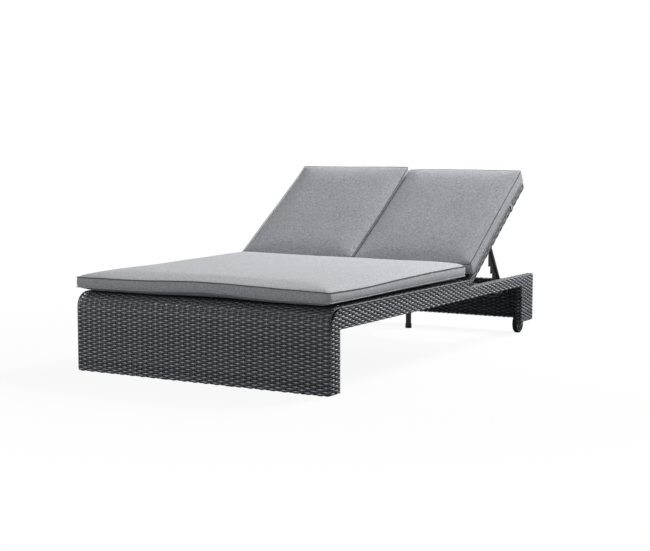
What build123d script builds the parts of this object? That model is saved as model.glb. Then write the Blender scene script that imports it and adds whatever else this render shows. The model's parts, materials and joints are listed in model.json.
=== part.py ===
from build123d import *
import math
import os

# Double chaise lounger: a low woven base for two, one wide seat cushion, and two backrests side by
# side that tilt on their own hinges and are held by a toothed prop under each one.
# Millimetres. +Z is up, +Y runs from the foot end to the head end, +X is the right side seen from the
# foot. The origin is on the floor under the middle of the base.

# Base outline
length = 2060.0
width = 1200.0
board = 30.0
wicker = 2.5
front_leg_depth = 76.0
rear_leg_depth = 158.0
rail_bottom = 245.0
seat_rail_top = 326.0
back_rail_top = 296.0
rear_leg_bottom = 62.0
waterfall_radius = 105.0
waterfall_run = 10.0
rail_end_radius = 14.0
edge_round = 6.0
rear_panel_bottom = 68.0
rear_panel_top = 258.0

# Tubes inside and under the weave
tube = board - 2 * wicker
tube_wall = 1.5
post_count = 5
deck_thickness = 4.0
deck_cross_count = 3
hinge_tube_gap = 18.0
centre_beam_height = 50.0
centre_beam_drop = 5.0

# Glides, middle leg
glide_height = 3.0
glide_radius = 12.0
glide_inset = 120.0
glide_place_shares = (0.33, 1.0)
leg_radius = 14.0
leg_wall = 1.5
leg_from_head = 195.0
foot_wall = 2.0
foot_height = 22.0

# Backrests, measured along the frame from the hinge axis when it lies flat
back_length = 760.0
back_gap = 10.0
back_angle = 34.0
flat_gap = 3.0
hinge_clearance = 2.0
lower_rail_start = 25.0
mat_thickness = 4.0
back_cross_shares = (0.28, 0.72)
back_cross_radius = 11.0

# Hinges
pin_radius = 4.0
fit = 0.05
lug_thickness = 5.0
lug_gap = 2.0
lug_rim = 8.0
pin_end_gap = 0.5
pin_head_radius = 6.5
pin_head_height = 4.0

# Toothed prop
prop_pivot = 348.0
prop_length = 365.0
prop_radius = 10.0
prop_bend = 45.0
prop_side_gap = 10.0
eye_radius = 10.5
eye_half = 11.0
prop_angle = -89.7
plate_thickness = 4.0
tooth_count = 4
tooth_pitch = 43.0
first_tooth = 139.0
tooth_height = 60.0
plate_tail = 10.0
ratchet_radius = 12.5
ratchet_from_hinge = 352.5
ratchet_drop = 54.0

# Wheels
wheel_radius = 47.5
wheel_width = 24.0
tyre_depth = 9.0
tyre_bevel = 4.0
rim_depth = 5.0
rim_width = 18.0
hub_radius = 12.0
hub_width = 28.0
spoke_count = 5
spoke_width = 9.0
spoke_thickness = 8.0
bush_radius = 6.0
axle_radius = 4.0
fork_wall = 3.0
fork_side_gap = 1.0
fork_top_gap = 8.0
fork_width = 26.0
fork_tail = 46.0
screw_radius = 2.0
screw_head_radius = 3.5
screw_head_height = 2.0
screw_length = 14.0
screw_pitch = 12.0

# Cushions
cushion_rest = 0.3
cushion_under = 23.0
cushion_band = 46.0
cushion_crown = 15.0
cushion_drawn = 5.0
cushion_side_gap = 3.0
seat_cushion_lead = 1.0
seat_cushion_back_gap = 36.0
back_cushion_start = 26.0
back_cushion_over = 8.0
belly_run = 95.0
belly_share = 0.33
crown_run_shares = (0.02, 0.12, 0.3)
crown_rise_shares = (0.45, 0.85, 1.0)

# Strap round the outer rail of each backrest
strap_width = 22.0
strap_thickness = 1.5
strap_place = 571.0
strap_rise = 24.0

# Places worked out from the sizes above
half_width = width / 2
inner_face = half_width - board
hinge_from_foot = length - back_length - board / 2
hinge_height = back_rail_top + flat_gap + board / 2
step_face = hinge_from_foot - board / 2 - hinge_clearance
back_half_gap = back_gap / 2
ratchet_from_foot = hinge_from_foot + ratchet_from_hinge
ratchet_height = hinge_height - ratchet_drop
seat_cushion_end = step_face - seat_cushion_back_gap
wheel_from_foot = length - rear_leg_depth / 2
fork_half = hub_width / 2 + fork_side_gap
wheel_x = inner_face - fork_wall - fork_half
fork_web = 2 * wheel_radius + fork_top_gap
prop_outer_x = inner_face - prop_side_gap - prop_radius
prop_inner_x = back_half_gap + board + prop_side_gap + prop_radius


def foot(distance):
    """Y of a point measured from the foot end."""
    return distance - length / 2


def block(x0, x1, y0, y1, z0, z1):
    """Box between two corners."""
    return Pos((x0 + x1) / 2, (y0 + y1) / 2, (z0 + z1) / 2) * Box(x1 - x0, y1 - y0, z1 - z0)


def rod_x(x0, x1, y, z, radius):
    """Round bar along X."""
    return Pos((x0 + x1) / 2, y, z) * Rot(0, 90, 0) * Cylinder(radius, x1 - x0)


def pipe_x(x0, x1, y, z, radius, wall):
    """Round tube along X."""
    return rod_x(x0, x1, y, z, radius) - rod_x(x0, x1, y, z, radius - wall)


def box_tube_x(x0, x1, y0, z0, size=tube, wall=tube_wall):
    """Square tube along X, open at both ends."""
    outer = block(x0, x1, y0, y0 + size, z0, z0 + size)
    return outer - block(x0, x1, y0 + wall, y0 + size - wall, z0 + wall, z0 + size - wall)


def box_tube_y(x0, y0, y1, z0, size=tube, wall=tube_wall):
    """Square tube along Y, open at both ends."""
    outer = block(x0, x0 + size, y0, y1, z0, z0 + size)
    return outer - block(x0 + wall, x0 + size - wall, y0, y1, z0 + wall, z0 + size - wall)


def box_tube_z(x0, y0, z0, z1, size=tube, wall=tube_wall):
    """Square tube along Z, open at both ends."""
    outer = block(x0, x0 + size, y0, y0 + size, z0, z1)
    return outer - block(x0 + wall, x0 + size - wall, y0 + wall, y0 + size - wall, z0, z1)


def side_slab(face, x0, x1):
    """Push a profile drawn in Y and Z from x0 to x1."""
    return extrude(Plane.YZ.offset(x0) * face, x1 - x0)


def mirrored(shape):
    """The same piece on the left side."""
    return mirror(shape, about=Plane.YZ)


def group(*solids):
    """Several separate solids in one file."""
    return Compound(children=[s for piece in solids for s in piece.solids()])


# Front panel: a board that stands on the floor and rolls over into the deck
def waterfall_face(inset):
    outer = waterfall_radius - inset
    inner = waterfall_radius - board + inset
    bend_y = foot(waterfall_radius)
    bend_z = seat_rail_top - waterfall_radius
    end_y = bend_y + waterfall_run - inset
    low = glide_height + inset
    with BuildSketch() as sketch:
        with BuildLine():
            Line((bend_y - outer, low), (bend_y - outer, bend_z))
            CenterArc((bend_y, bend_z), outer, 180, -90)
            Line((bend_y, bend_z + outer), (end_y, bend_z + outer))
            Line((end_y, bend_z + outer), (end_y, bend_z + inner))
            Line((end_y, bend_z + inner), (bend_y, bend_z + inner))
            CenterArc((bend_y, bend_z), inner, 90, 90)
            Line((bend_y - inner, bend_z), (bend_y - inner, low))
            Line((bend_y - inner, low), (bend_y - outer, low))
        make_face()
    return sketch.sketch


def round_ends(board_solid):
    """Soften the outer edges of the front face and its roll where they meet the two ends."""
    outer_reach = waterfall_radius - board / 2
    bend = Vector(0, foot(waterfall_radius), seat_rail_top - waterfall_radius)
    chain = []
    for end in (board_solid.faces().sort_by(Axis.X)[0], board_solid.faces().sort_by(Axis.X)[-1]):
        for edge in end.edges():
            mid = edge @ 0.5
            reach = math.hypot(mid.Y - bend.Y, mid.Z - bend.Z) if mid.Z > bend.Z else bend.Y - mid.Y
            if reach > outer_reach and mid.Y < bend.Y and mid.Z > glide_height:
                chain.append(edge)
    return fillet(chain, edge_round)


def post_places(x0, x1):
    """Left edges of the upright tubes, spread evenly."""
    pitch = (x1 - x0 - tube) / (post_count - 1)
    return [x0 + pitch * i for i in range(post_count)]


def front_panel():
    x0 = -half_width
    skin = side_slab(waterfall_face(0), x0, -x0)
    skin = round_ends(skin)
    skin -= side_slab(waterfall_face(wicker), x0 + wicker, -x0 - wicker)
    sill_top = glide_height + wicker + tube
    sill = box_tube_x(x0 + wicker, -x0 - wicker, foot(wicker), glide_height + wicker)
    bent = []
    below = block(x0, -x0, foot(0), foot(board), glide_height, sill_top)
    for x in post_places(x0 + wicker, -x0 - wicker):
        post = side_slab(waterfall_face(wicker), x, x + tube)
        post -= side_slab(waterfall_face(wicker + tube_wall), x + tube_wall, x + tube - tube_wall)
        bent.append(post - below)
    return skin, group(sill, *bent)


# Side boards: front leg, rail with a step for the backrest, rear leg
def side_face(inset):
    inner = waterfall_radius - board
    bend_y = foot(waterfall_radius)
    bend_z = seat_rail_top - waterfall_radius
    front = foot(board) + inset
    top = seat_rail_top - inset
    with BuildSketch() as sketch:
        with BuildLine():
            Polyline(
                (front, bend_z),
                (front, glide_height + inset),
                (foot(front_leg_depth) - inset, glide_height + inset),
                (foot(front_leg_depth) - inset, rail_bottom + inset),
                (foot(length - rear_leg_depth) + inset, rail_bottom + inset),
                (foot(length - rear_leg_depth) + inset, rear_leg_bottom + inset),
                (foot(length) - inset, rear_leg_bottom + inset),
                (foot(length) - inset, back_rail_top - inset),
                (foot(step_face) - inset, back_rail_top - inset),
                (foot(step_face) - inset, top),
                (bend_y + waterfall_run + inset, top),
                (bend_y + waterfall_run + inset, seat_rail_top - board - inset),
                (bend_y, seat_rail_top - board - inset),
            )
            CenterArc((bend_y, bend_z), inner - inset, 90, 90)
        make_face()
        rear_top = sketch.vertices().sort_by(Axis.X)[-2:].sort_by(Axis.Y)[-1]
        fillet(rear_top, rail_end_radius - inset)
    return sketch.sketch


def side_tubes(x0):
    """The welded frame inside one side board."""
    leg_y = foot(front_leg_depth) - wicker - tube
    low_z = rail_bottom + wicker
    back_y = foot(length) - wicker
    rear_y = foot(length - rear_leg_depth) + wicker
    rear_z = rear_leg_bottom + wicker
    run_y = foot(waterfall_radius) + waterfall_run + wicker
    frame = box_tube_z(x0, leg_y, glide_height + wicker, low_z)
    frame += box_tube_y(x0, leg_y, back_y - tube, low_z)
    frame += box_tube_y(x0, run_y, foot(step_face) - wicker, seat_rail_top - wicker - tube)
    step_y = foot(step_face) - wicker - tube
    frame += box_tube_z(x0, step_y, low_z + tube, seat_rail_top - wicker - tube)
    frame += box_tube_z(x0, rear_y, rear_z, low_z)
    frame += box_tube_z(x0, back_y - tube, rear_z, back_rail_top - wicker - rail_end_radius)
    frame += box_tube_y(x0, rear_y + tube, back_y - tube, rear_z)
    frame += box_tube_y(x0, rear_y + tube, back_y - tube, screw_row() - tube / 2)
    return frame - side_slab(waterfall_face(-wicker), x0, x0 + tube)


def screw_row():
    """Height of the middle of the screws that hold a wheel fork."""
    return fork_web + fork_wall + fork_tail / 2


def fork_screws():
    """Two screws through the fork into the rear leg."""
    y = foot(wheel_from_foot)
    x = inner_face - fork_wall
    screws = []
    for side in (-1, 1):
        at = y + side * screw_pitch / 2
        head = rod_x(x - screw_head_height, x, at, screw_row(), screw_head_radius)
        screws.append(head + rod_x(x - screw_head_height, x + screw_length, at, screw_row(), screw_radius))
    return group(*screws)


def side_board():
    skin = side_slab(side_face(0), inner_face, half_width)
    behind = foot(front_leg_depth) - wicker
    outline = skin.faces().sort_by(Axis.X)[-1].edges()
    skin = fillet([edge for edge in outline if (edge @ 0.5).Y > behind], edge_round)
    skin -= side_slab(side_face(wicker), inner_face + wicker, half_width - wicker)
    tubes = side_tubes(inner_face + wicker)
    screws = fork_screws()
    return skin - screws, tubes - screws


# Rear panel between the rear legs, lower than the side rails
def rear_panel():
    y0 = foot(length) - board
    y1 = foot(length)
    skin = block(-inner_face, inner_face, y0, y1, rear_panel_bottom, rear_panel_top)
    low = rear_panel_bottom + wicker
    high = rear_panel_top - wicker
    skin -= block(wicker - inner_face, inner_face - wicker, y0 + wicker, y1 - wicker, low, high)
    x0 = wicker - inner_face
    frame = box_tube_x(x0, -x0, y0 + wicker, low)
    frame += box_tube_x(x0, -x0, y0 + wicker, high - tube)
    for x in post_places(x0, -x0):
        frame += box_tube_z(x, y0 + wicker, low + tube, high - tube)
    return skin, frame


# Deck under the seat cushion and the tubes that carry it
def deck_span():
    return foot(waterfall_radius + waterfall_run), foot(step_face)


def seat_deck():
    y0, y1 = deck_span()
    return block(-inner_face, inner_face, y0, y1, seat_rail_top - deck_thickness, seat_rail_top)


def seat_cross_tubes():
    y0, y1 = deck_span()
    pitch = (y1 - y0 - tube) / deck_cross_count
    z = seat_rail_top - deck_thickness - tube
    return [box_tube_x(-inner_face, inner_face, y0 + pitch * i, z) for i in range(deck_cross_count)]


def hinge_tube_top():
    return hinge_height - hinge_tube_gap


def hinge_cross_tube():
    y0 = foot(hinge_from_foot) - tube / 2
    return box_tube_x(-inner_face, inner_face, y0, hinge_tube_top() - tube)


def lug_places():
    """Left faces of the two right-hand hinge lugs."""
    return inner_face - lug_gap - lug_thickness, back_half_gap + board + lug_gap


def hinge_lug(x0):
    y = foot(hinge_from_foot)
    rim = pin_radius + lug_rim
    plate = block(x0, x0 + lug_thickness, y - rim, y + rim, hinge_tube_top(), hinge_height)
    plate += rod_x(x0, x0 + lug_thickness, y, hinge_height, rim)
    return plate - rod_x(x0, x0 + lug_thickness, y, hinge_height, pin_radius)


def hinge_pin(x_lug, x_tip, way):
    """Pin with a round head beside its lug; way is the side the tip points to."""
    y = foot(hinge_from_foot)
    x_head = x_lug if way > 0 else x_lug + lug_thickness
    shank = rod_x(min(x_head, x_tip), max(x_head, x_tip), y, hinge_height, pin_radius)
    x_cap = x_head - way * pin_head_height
    return shank + rod_x(min(x_head, x_cap), max(x_head, x_cap), y, hinge_height, pin_head_radius)


def hinge_set():
    outer, inner = lug_places()
    lugs = group(hinge_lug(outer), hinge_lug(inner))
    pins = group(
        hinge_pin(outer, half_width - wicker - pin_end_gap, 1),
        hinge_pin(inner, back_half_gap + wicker + pin_end_gap, -1),
    )
    return lugs, pins


# Round tube that the prop teeth catch, and the beam that carries its middle
def ratchet_tube():
    y = foot(ratchet_from_foot)
    return pipe_x(-inner_face, inner_face, y, ratchet_height, ratchet_radius, tube_wall)


def centre_beam():
    y0 = foot(hinge_from_foot) + tube / 2
    y1 = foot(length) - board
    z1 = hinge_tube_top() - centre_beam_drop
    z0 = z1 - centre_beam_height
    beam = block(-tube / 2, tube / 2, y0, y1, z0, z1)
    beam -= block(tube_wall - tube / 2, tube / 2 - tube_wall, y0, y1, z0 + tube_wall, z1 - tube_wall)
    hole = rod_x(-tube, tube, foot(ratchet_from_foot), ratchet_height, ratchet_radius)
    return beam - hole


def middle_leg():
    top = hinge_tube_top() - centre_beam_drop - centre_beam_height
    y = foot(length - leg_from_head)
    height = top - glide_height
    leg = Pos(0, y, glide_height + height / 2) * Cylinder(leg_radius, height)
    leg -= Pos(0, y, glide_height + height / 2) * Cylinder(leg_radius - leg_wall, height)
    cup = Pos(0, y, foot_height / 2) * Cylinder(leg_radius + fit + foot_wall, foot_height)
    cup -= Pos(0, y, glide_height + foot_height / 2) * Cylinder(leg_radius + fit, foot_height)
    return leg, cup


def floor_glides():
    y = foot(board / 2)
    reach = half_width - glide_inset
    places = [side * reach * share for side in (-1, 1) for share in glide_place_shares]
    return group(*[Pos(x, y, glide_height / 2) * Cylinder(glide_radius, glide_height) for x in places])


# Wheels in a bent fork on the inner face of each rear leg
def wheel_tyre():
    y = foot(wheel_from_foot)
    ring = rod_x(wheel_x - wheel_width / 2, wheel_x + wheel_width / 2, y, wheel_radius, wheel_radius)
    ring = chamfer(ring.edges().filter_by(GeomType.CIRCLE), tyre_bevel)
    bore = wheel_radius - tyre_depth
    return ring - rod_x(wheel_x - wheel_width, wheel_x + wheel_width, y, wheel_radius, bore)


def wheel_body():
    y = foot(wheel_from_foot)
    z = wheel_radius
    rim = wheel_radius - tyre_depth
    body = rod_x(wheel_x - rim_width / 2, wheel_x + rim_width / 2, y, z, rim)
    body -= rod_x(wheel_x - rim_width / 2, wheel_x + rim_width / 2, y, z, rim - rim_depth)
    reach = rim - rim_depth / 2
    spoke = block(-spoke_thickness / 2, spoke_thickness / 2, -spoke_width / 2, spoke_width / 2, 0, reach)
    for i in range(spoke_count):
        body += Pos(wheel_x, y, z) * Rot(360 * i / spoke_count, 0, 0) * spoke
    body += rod_x(wheel_x - hub_width / 2, wheel_x + hub_width / 2, y, z, hub_radius)
    return body - rod_x(wheel_x - hub_width, wheel_x + hub_width, y, z, bush_radius + fit)


def wheel_bush():
    y = foot(wheel_from_foot)
    wall = bush_radius - axle_radius - fit
    return pipe_x(wheel_x - fork_half, wheel_x + fork_half, y, wheel_radius, bush_radius, wall)


def wheel_fork():
    y = foot(wheel_from_foot)
    half = fork_width / 2
    inner = wheel_x - fork_half
    outer = wheel_x + fork_half
    top = fork_web + fork_wall
    fork = block(inner - fork_wall, inner, y - half, y + half, wheel_radius, top)
    fork += rod_x(inner - fork_wall, inner, y, wheel_radius, half)
    fork += block(inner, outer, y - half, y + half, fork_web, top)
    fork += block(outer, outer + fork_wall, y - half, y + half, wheel_radius, top + fork_tail)
    fork += rod_x(outer, outer + fork_wall, y, wheel_radius, half)
    fork -= rod_x(inner - board, outer + board, y, wheel_radius, axle_radius)
    return fork - fork_screws()


def wheel_axle():
    y = foot(wheel_from_foot)
    inner = wheel_x - fork_half - fork_wall
    outer = wheel_x + fork_half + fork_wall
    axle = rod_x(inner - pin_head_height, outer + pin_head_height, y, wheel_radius, axle_radius)
    axle += rod_x(inner - pin_head_height, inner, y, wheel_radius, pin_head_radius)
    return axle + rod_x(outer, outer + pin_head_height, y, wheel_radius, pin_head_radius)


# Right backrest, drawn flat with the hinge axis at Y 0, Z 0 and then tilted
back_place = Pos(0, foot(hinge_from_foot), hinge_height) * Rot(back_angle, 0, 0)
half_board = board / 2


def long_rail(x0):
    """Outer skin of a long backrest rail, rounded round the hinge axis."""
    rail = block(x0, x0 + board, 0, back_length, -half_board, half_board)
    return rail + rod_x(x0, x0 + board, 0, 0, half_board)


def long_rail_core(x0):
    """Space inside a long rail, which its tube fills."""
    x1 = x0 + wicker
    core = block(x1, x1 + tube, 0, back_length - wicker, -tube / 2, tube / 2)
    return core + rod_x(x1, x1 + tube, 0, 0, tube / 2)


def cross_rail(y0):
    """Outer skin of a rail between the long rails."""
    return block(back_half_gap + board, inner_face, y0, y0 + board, -half_board, half_board)


def cross_rail_core(y0):
    y1 = y0 + wicker
    return block(back_half_gap + board, inner_face, y1, y1 + tube, -tube / 2, tube / 2)


def back_tubes():
    """Welded ring of square tube inside the woven rails, solid round the hinge pin and prop bolt."""
    reach = back_length - wicker
    low = lower_rail_start + wicker
    ring = None
    for x0 in (back_half_gap + wicker, inner_face + wicker):
        solid_end = rod_x(x0, x0 + tube, 0, 0, tube / 2)
        solid_end += block(x0, x0 + tube, 0, tube, -tube / 2, tube / 2)
        run = box_tube_y(x0, tube, reach, -tube / 2)
        boss = block(x0, x0 + tube, prop_pivot - tube / 2, prop_pivot + tube / 2, -tube / 2, tube / 2)
        piece = solid_end + run + boss
        ring = piece if ring is None else ring + piece
    x0 = back_half_gap + wicker + tube
    for y0 in (low, reach - tube):
        ring += box_tube_x(x0, inner_face + wicker, y0, -tube / 2)
    ring -= rod_x(back_half_gap, half_width, 0, 0, pin_radius + fit)
    return ring - rod_x(back_half_gap, half_width, prop_pivot, 0, pin_radius)


def back_rails():
    """The four woven rails, hollow where the tubes run and open where a tube or pin goes through."""
    way = rod_x(back_half_gap + wicker, half_width - wicker, 0, 0, pin_radius + fit)
    way += rod_x(back_half_gap + wicker, half_width - wicker, prop_pivot, 0, pin_radius)
    x0 = back_half_gap + board / 2
    x1 = inner_face + board / 2
    for y0 in (lower_rail_start + wicker, back_length - wicker - tube):
        way += block(x0, x1, y0, y0 + tube, -tube / 2, tube / 2)
    outer = long_rail(inner_face) - long_rail_core(inner_face) - way
    inner = long_rail(back_half_gap) - long_rail_core(back_half_gap) - way
    lower = cross_rail(lower_rail_start) - cross_rail_core(lower_rail_start)
    upper = cross_rail(back_length - board) - cross_rail_core(back_length - board)
    return outer, inner, lower, upper


def back_opening():
    """Span between the woven rails: X from, X to, Y from, Y to."""
    return back_half_gap + board, inner_face, lower_rail_start + board, back_length - board


def back_mat():
    x0, x1, y0, y1 = back_opening()
    return block(x0, x1, y0, y1, half_board - mat_thickness, half_board)


def back_cross_tubes():
    x0, x1, y0, y1 = back_opening()
    z = half_board - mat_thickness - back_cross_radius
    places = [y0 + (y1 - y0) * share for share in back_cross_shares]
    return [pipe_x(x0, x1, y, z, back_cross_radius, tube_wall) for y in places]


def prop_bolts():
    """Bolts and spacers that hold the prop between the long rails."""
    low_x = back_half_gap + wicker
    high_x = half_width - wicker
    inner_end = prop_inner_x + eye_half
    outer_end = prop_outer_x - eye_half
    bolts = rod_x(low_x, inner_end + pin_head_height, prop_pivot, 0, pin_radius)
    bolts += rod_x(inner_end, inner_end + pin_head_height, prop_pivot, 0, pin_head_radius)
    bolts += rod_x(back_half_gap + board, inner_end - 2 * eye_half, prop_pivot, 0, pin_head_radius)
    bolts += rod_x(outer_end - pin_head_height, high_x, prop_pivot, 0, pin_radius)
    bolts += rod_x(outer_end - pin_head_height, outer_end, prop_pivot, 0, pin_head_radius)
    bolts += rod_x(outer_end + 2 * eye_half, inner_face, prop_pivot, 0, pin_head_radius)
    return group(bolts)


def back_strap():
    """Fabric loop from the cushion seam down the outer rail and under it."""
    gap = cushion_rest
    x1 = half_width + gap + strap_thickness
    y0 = strap_place - strap_width / 2
    y1 = y0 + strap_width
    low = -half_board - gap - strap_thickness
    band = block(x1 - strap_thickness, x1, y0, y1, low, half_board + strap_rise)
    return band + block(inner_face, x1, y0, y1, low, low + strap_thickness)


# Prop: a bent tube closed at both ends, with a toothed plate on each leg, drawn from its pivot along
# Y with the teeth down
def prop_tube():
    x0 = prop_inner_x
    x1 = prop_outer_x
    with BuildLine() as path:
        FilletPolyline((x0, 0), (x0, prop_length), (x1, prop_length), (x1, 0), radius=prop_bend)
    start = Plane(origin=(x0, 0, 0), z_dir=(0, 1, 0))
    prop = sweep(start * Circle(prop_radius), path=path.line)
    for x in (x0, x1):
        prop += rod_x(x - eye_half, x + eye_half, 0, 0, eye_radius)
        prop -= rod_x(x - eye_half, x + eye_half, 0, 0, pin_radius + fit)
    return prop


def tooth_outline():
    """Saw teeth whose undersides lie level when the prop stands as at rest."""
    lean = math.radians(-90 - prop_angle - back_angle)
    rise = math.tan(-lean)
    depth = tooth_pitch / (1 / rise + rise)
    valley = tooth_height - depth
    start = first_tooth - (tooth_height - prop_radius) / rise
    points = [(start, -prop_radius / 2), (start, -prop_radius)]
    for i in range(tooth_count):
        tip = first_tooth + tooth_pitch * i
        points += [(tip, -tooth_height), (tip + depth * rise, -valley)]
    end = points[-1][0] + plate_tail
    return points + [(end, -prop_radius), (end, -prop_radius / 2)]


def ratchet_plates():
    plates = []
    for x in (prop_inner_x, prop_outer_x):
        x0 = x - plate_thickness / 2
        face = make_face(Polyline(*tooth_outline(), close=True))
        plate = side_slab(face, x0, x0 + plate_thickness)
        reach = Pos(x, prop_length / 2, 0) * Rot(90, 0, 0) * Cylinder(prop_radius, prop_length)
        plates.append(plate - reach)
    return group(*plates)


prop_place = back_place * Pos(0, prop_pivot, 0) * Rot(prop_angle, 0, 0)


# Cushions: a sewn band with drawn-in sides, a crowned top and a belly that rests flat
def pillow_section(x0, x1, y0, y1, inset, z):
    """Rectangle whose sides bow inwards between its corners."""
    draw = cushion_drawn
    a, b, c, d = x0 + inset, x1 - inset, y0 + inset, y1 - inset
    mid_x, mid_y = (a + b) / 2, (c + d) / 2
    with BuildSketch(Plane.XY.offset(z)) as sketch:
        with BuildLine():
            ThreePointArc((a, c), (mid_x, c + draw), (b, c))
            ThreePointArc((b, c), (b - draw, mid_y), (b, d))
            ThreePointArc((b, d), (mid_x, d - draw), (a, d))
            ThreePointArc((a, d), (a + draw, mid_y), (a, c))
        make_face()
    return sketch.sketch


def cushion(x0, x1, y0, y1, z0):
    """Cushion lofted from its flat belly through both seams to its crown."""
    seam = z0 + cushion_under
    top = seam + cushion_band
    span = min(x1 - x0, y1 - y0)
    sections = [
        pillow_section(x0, x1, y0, y1, belly_run, z0),
        pillow_section(x0, x1, y0, y1, belly_run * belly_share, z0 + cushion_under * belly_share),
        pillow_section(x0, x1, y0, y1, 0, seam),
        pillow_section(x0, x1, y0, y1, 0, top),
    ]
    for run, rise in zip(crown_run_shares, crown_rise_shares):
        sections.append(pillow_section(x0, x1, y0, y1, span * run, top + cushion_crown * rise))
    return loft(sections, ruled=True)


def seat_cushion():
    x1 = half_width - cushion_side_gap
    y0 = foot(seat_cushion_lead)
    return cushion(-x1, x1, y0, foot(seat_cushion_end), seat_rail_top + cushion_rest)


def back_cushion():
    x0 = back_half_gap
    x1 = half_width - cushion_side_gap
    return cushion(x0, x1, back_cushion_start, back_length + back_cushion_over, half_board + cushion_rest)


def both_sides(name, shape, parts):
    """Keep a right-hand piece and its mirror image."""
    parts["right_" + name] = shape
    parts["left_" + name] = mirrored(shape)


def collect():
    parts = {}
    parts["front_panel_skin"], parts["front_panel_tubes"] = front_panel()
    skin, tubes = side_board()
    both_sides("side_skin", skin, parts)
    both_sides("side_tubes", tubes, parts)
    parts["rear_panel_skin"], parts["rear_panel_tubes"] = rear_panel()
    parts["seat_deck"] = seat_deck()
    for place, cross in zip(("front", "middle", "rear"), seat_cross_tubes()):
        parts["seat_cross_tube_" + place] = cross
    parts["hinge_cross_tube"] = hinge_cross_tube()
    lugs, pins = hinge_set()
    parts["hinge_lugs"] = group(lugs, mirrored(lugs))
    parts["hinge_pins"] = group(pins, mirrored(pins))
    parts["ratchet_tube"] = ratchet_tube()
    parts["centre_beam"] = centre_beam()
    parts["middle_leg"], parts["middle_leg_foot"] = middle_leg()
    parts["floor_glides"] = floor_glides()
    parts["seat_cushion"] = seat_cushion()
    both_sides("wheel_tyre", wheel_tyre(), parts)
    both_sides("wheel_body", wheel_body(), parts)
    both_sides("wheel_bush", wheel_bush(), parts)
    both_sides("wheel_fork", wheel_fork(), parts)
    both_sides("wheel_axle", wheel_axle(), parts)
    screws = fork_screws()
    parts["wheel_fork_screws"] = group(screws, mirrored(screws))

    ring = back_tubes()
    outer, inner, lower, upper = back_rails()
    low_tube, high_tube = back_cross_tubes()
    both_sides("back_outer_rail", back_place * outer, parts)
    both_sides("back_inner_rail", back_place * inner, parts)
    both_sides("back_lower_rail", back_place * lower, parts)
    both_sides("back_upper_rail", back_place * upper, parts)
    both_sides("back_tubes", back_place * ring, parts)
    both_sides("back_mat", back_place * back_mat(), parts)
    both_sides("back_cross_tube_lower", back_place * low_tube, parts)
    both_sides("back_cross_tube_upper", back_place * high_tube, parts)
    both_sides("prop_bolts", back_place * prop_bolts(), parts)
    both_sides("back_strap", back_place * back_strap(), parts)
    both_sides("back_cushion", back_place * back_cushion(), parts)
    both_sides("prop_tube", prop_place * prop_tube(), parts)
    both_sides("ratchet_plates", prop_place * ratchet_plates(), parts)
    return parts


os.makedirs("parts", exist_ok=True)
for name, shape in collect().items():
    export_step(shape, "parts/" + name + ".step")
    print(name, round(shape.volume))
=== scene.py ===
"""Double chaise lounger: woven resin over welded tube, one wide seat cushion and two tilting backs.

Lengths are metres. +Z is up, +Y runs from the foot end to the head end, and +X is the right side.
"""
import json
import logging
import math
from dataclasses import dataclass, field
from enum import Enum

import bmesh
import bpy
import numpy as np
from mathutils import Euler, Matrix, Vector


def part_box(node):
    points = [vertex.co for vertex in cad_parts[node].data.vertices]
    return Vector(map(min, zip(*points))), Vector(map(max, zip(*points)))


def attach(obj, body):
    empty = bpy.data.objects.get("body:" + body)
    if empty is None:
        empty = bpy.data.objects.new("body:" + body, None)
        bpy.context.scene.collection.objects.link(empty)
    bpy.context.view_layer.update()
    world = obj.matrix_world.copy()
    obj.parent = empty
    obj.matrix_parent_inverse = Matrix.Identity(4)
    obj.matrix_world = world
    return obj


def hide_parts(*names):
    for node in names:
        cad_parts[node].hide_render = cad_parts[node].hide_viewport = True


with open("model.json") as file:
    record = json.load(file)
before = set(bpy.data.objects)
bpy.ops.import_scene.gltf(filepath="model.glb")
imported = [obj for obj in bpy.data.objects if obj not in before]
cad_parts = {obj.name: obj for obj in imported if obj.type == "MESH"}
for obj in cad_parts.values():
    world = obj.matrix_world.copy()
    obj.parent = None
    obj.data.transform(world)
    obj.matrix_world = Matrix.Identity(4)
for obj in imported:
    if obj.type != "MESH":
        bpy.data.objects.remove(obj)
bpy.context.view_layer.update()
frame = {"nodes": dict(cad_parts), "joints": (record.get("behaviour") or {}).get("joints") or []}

logging.basicConfig(level=logging.INFO, format="%(message)s")
log = logging.getLogger("lounger")

MM = 0.001
SEED = 11
X_AXIS = np.array((1.0, 0.0, 0.0))
Y_AXIS = np.array((0.0, 1.0, 0.0))
Z_AXIS = np.array((0.0, 0.0, 1.0))


class Side(Enum):
    """Right and left, with the sign of X on each."""

    RIGHT = 1
    LEFT = -1

    @property
    def word(self) -> str:
        """Start of the names of this side's pieces and bodies.

        Returns:
            The side in lower case.
        """
        return self.name.lower()


# Materials


def linear(code: str, alpha: float = 1.0) -> tuple[float, float, float, float]:
    """Turn an sRGB hex colour into the linear values that shaders take.

    Args:
        code: Six hex digits.
        alpha: Fourth value.

    Returns:
        Linear red, green, blue and alpha.
    """
    parts = [int(code[i:i + 2], 16) / 255 for i in (0, 2, 4)]
    low = [c / 12.92 if c <= 0.04045 else ((c + 0.055) / 1.055) ** 2.4 for c in parts]
    return (low[0], low[1], low[2], alpha)


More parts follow.
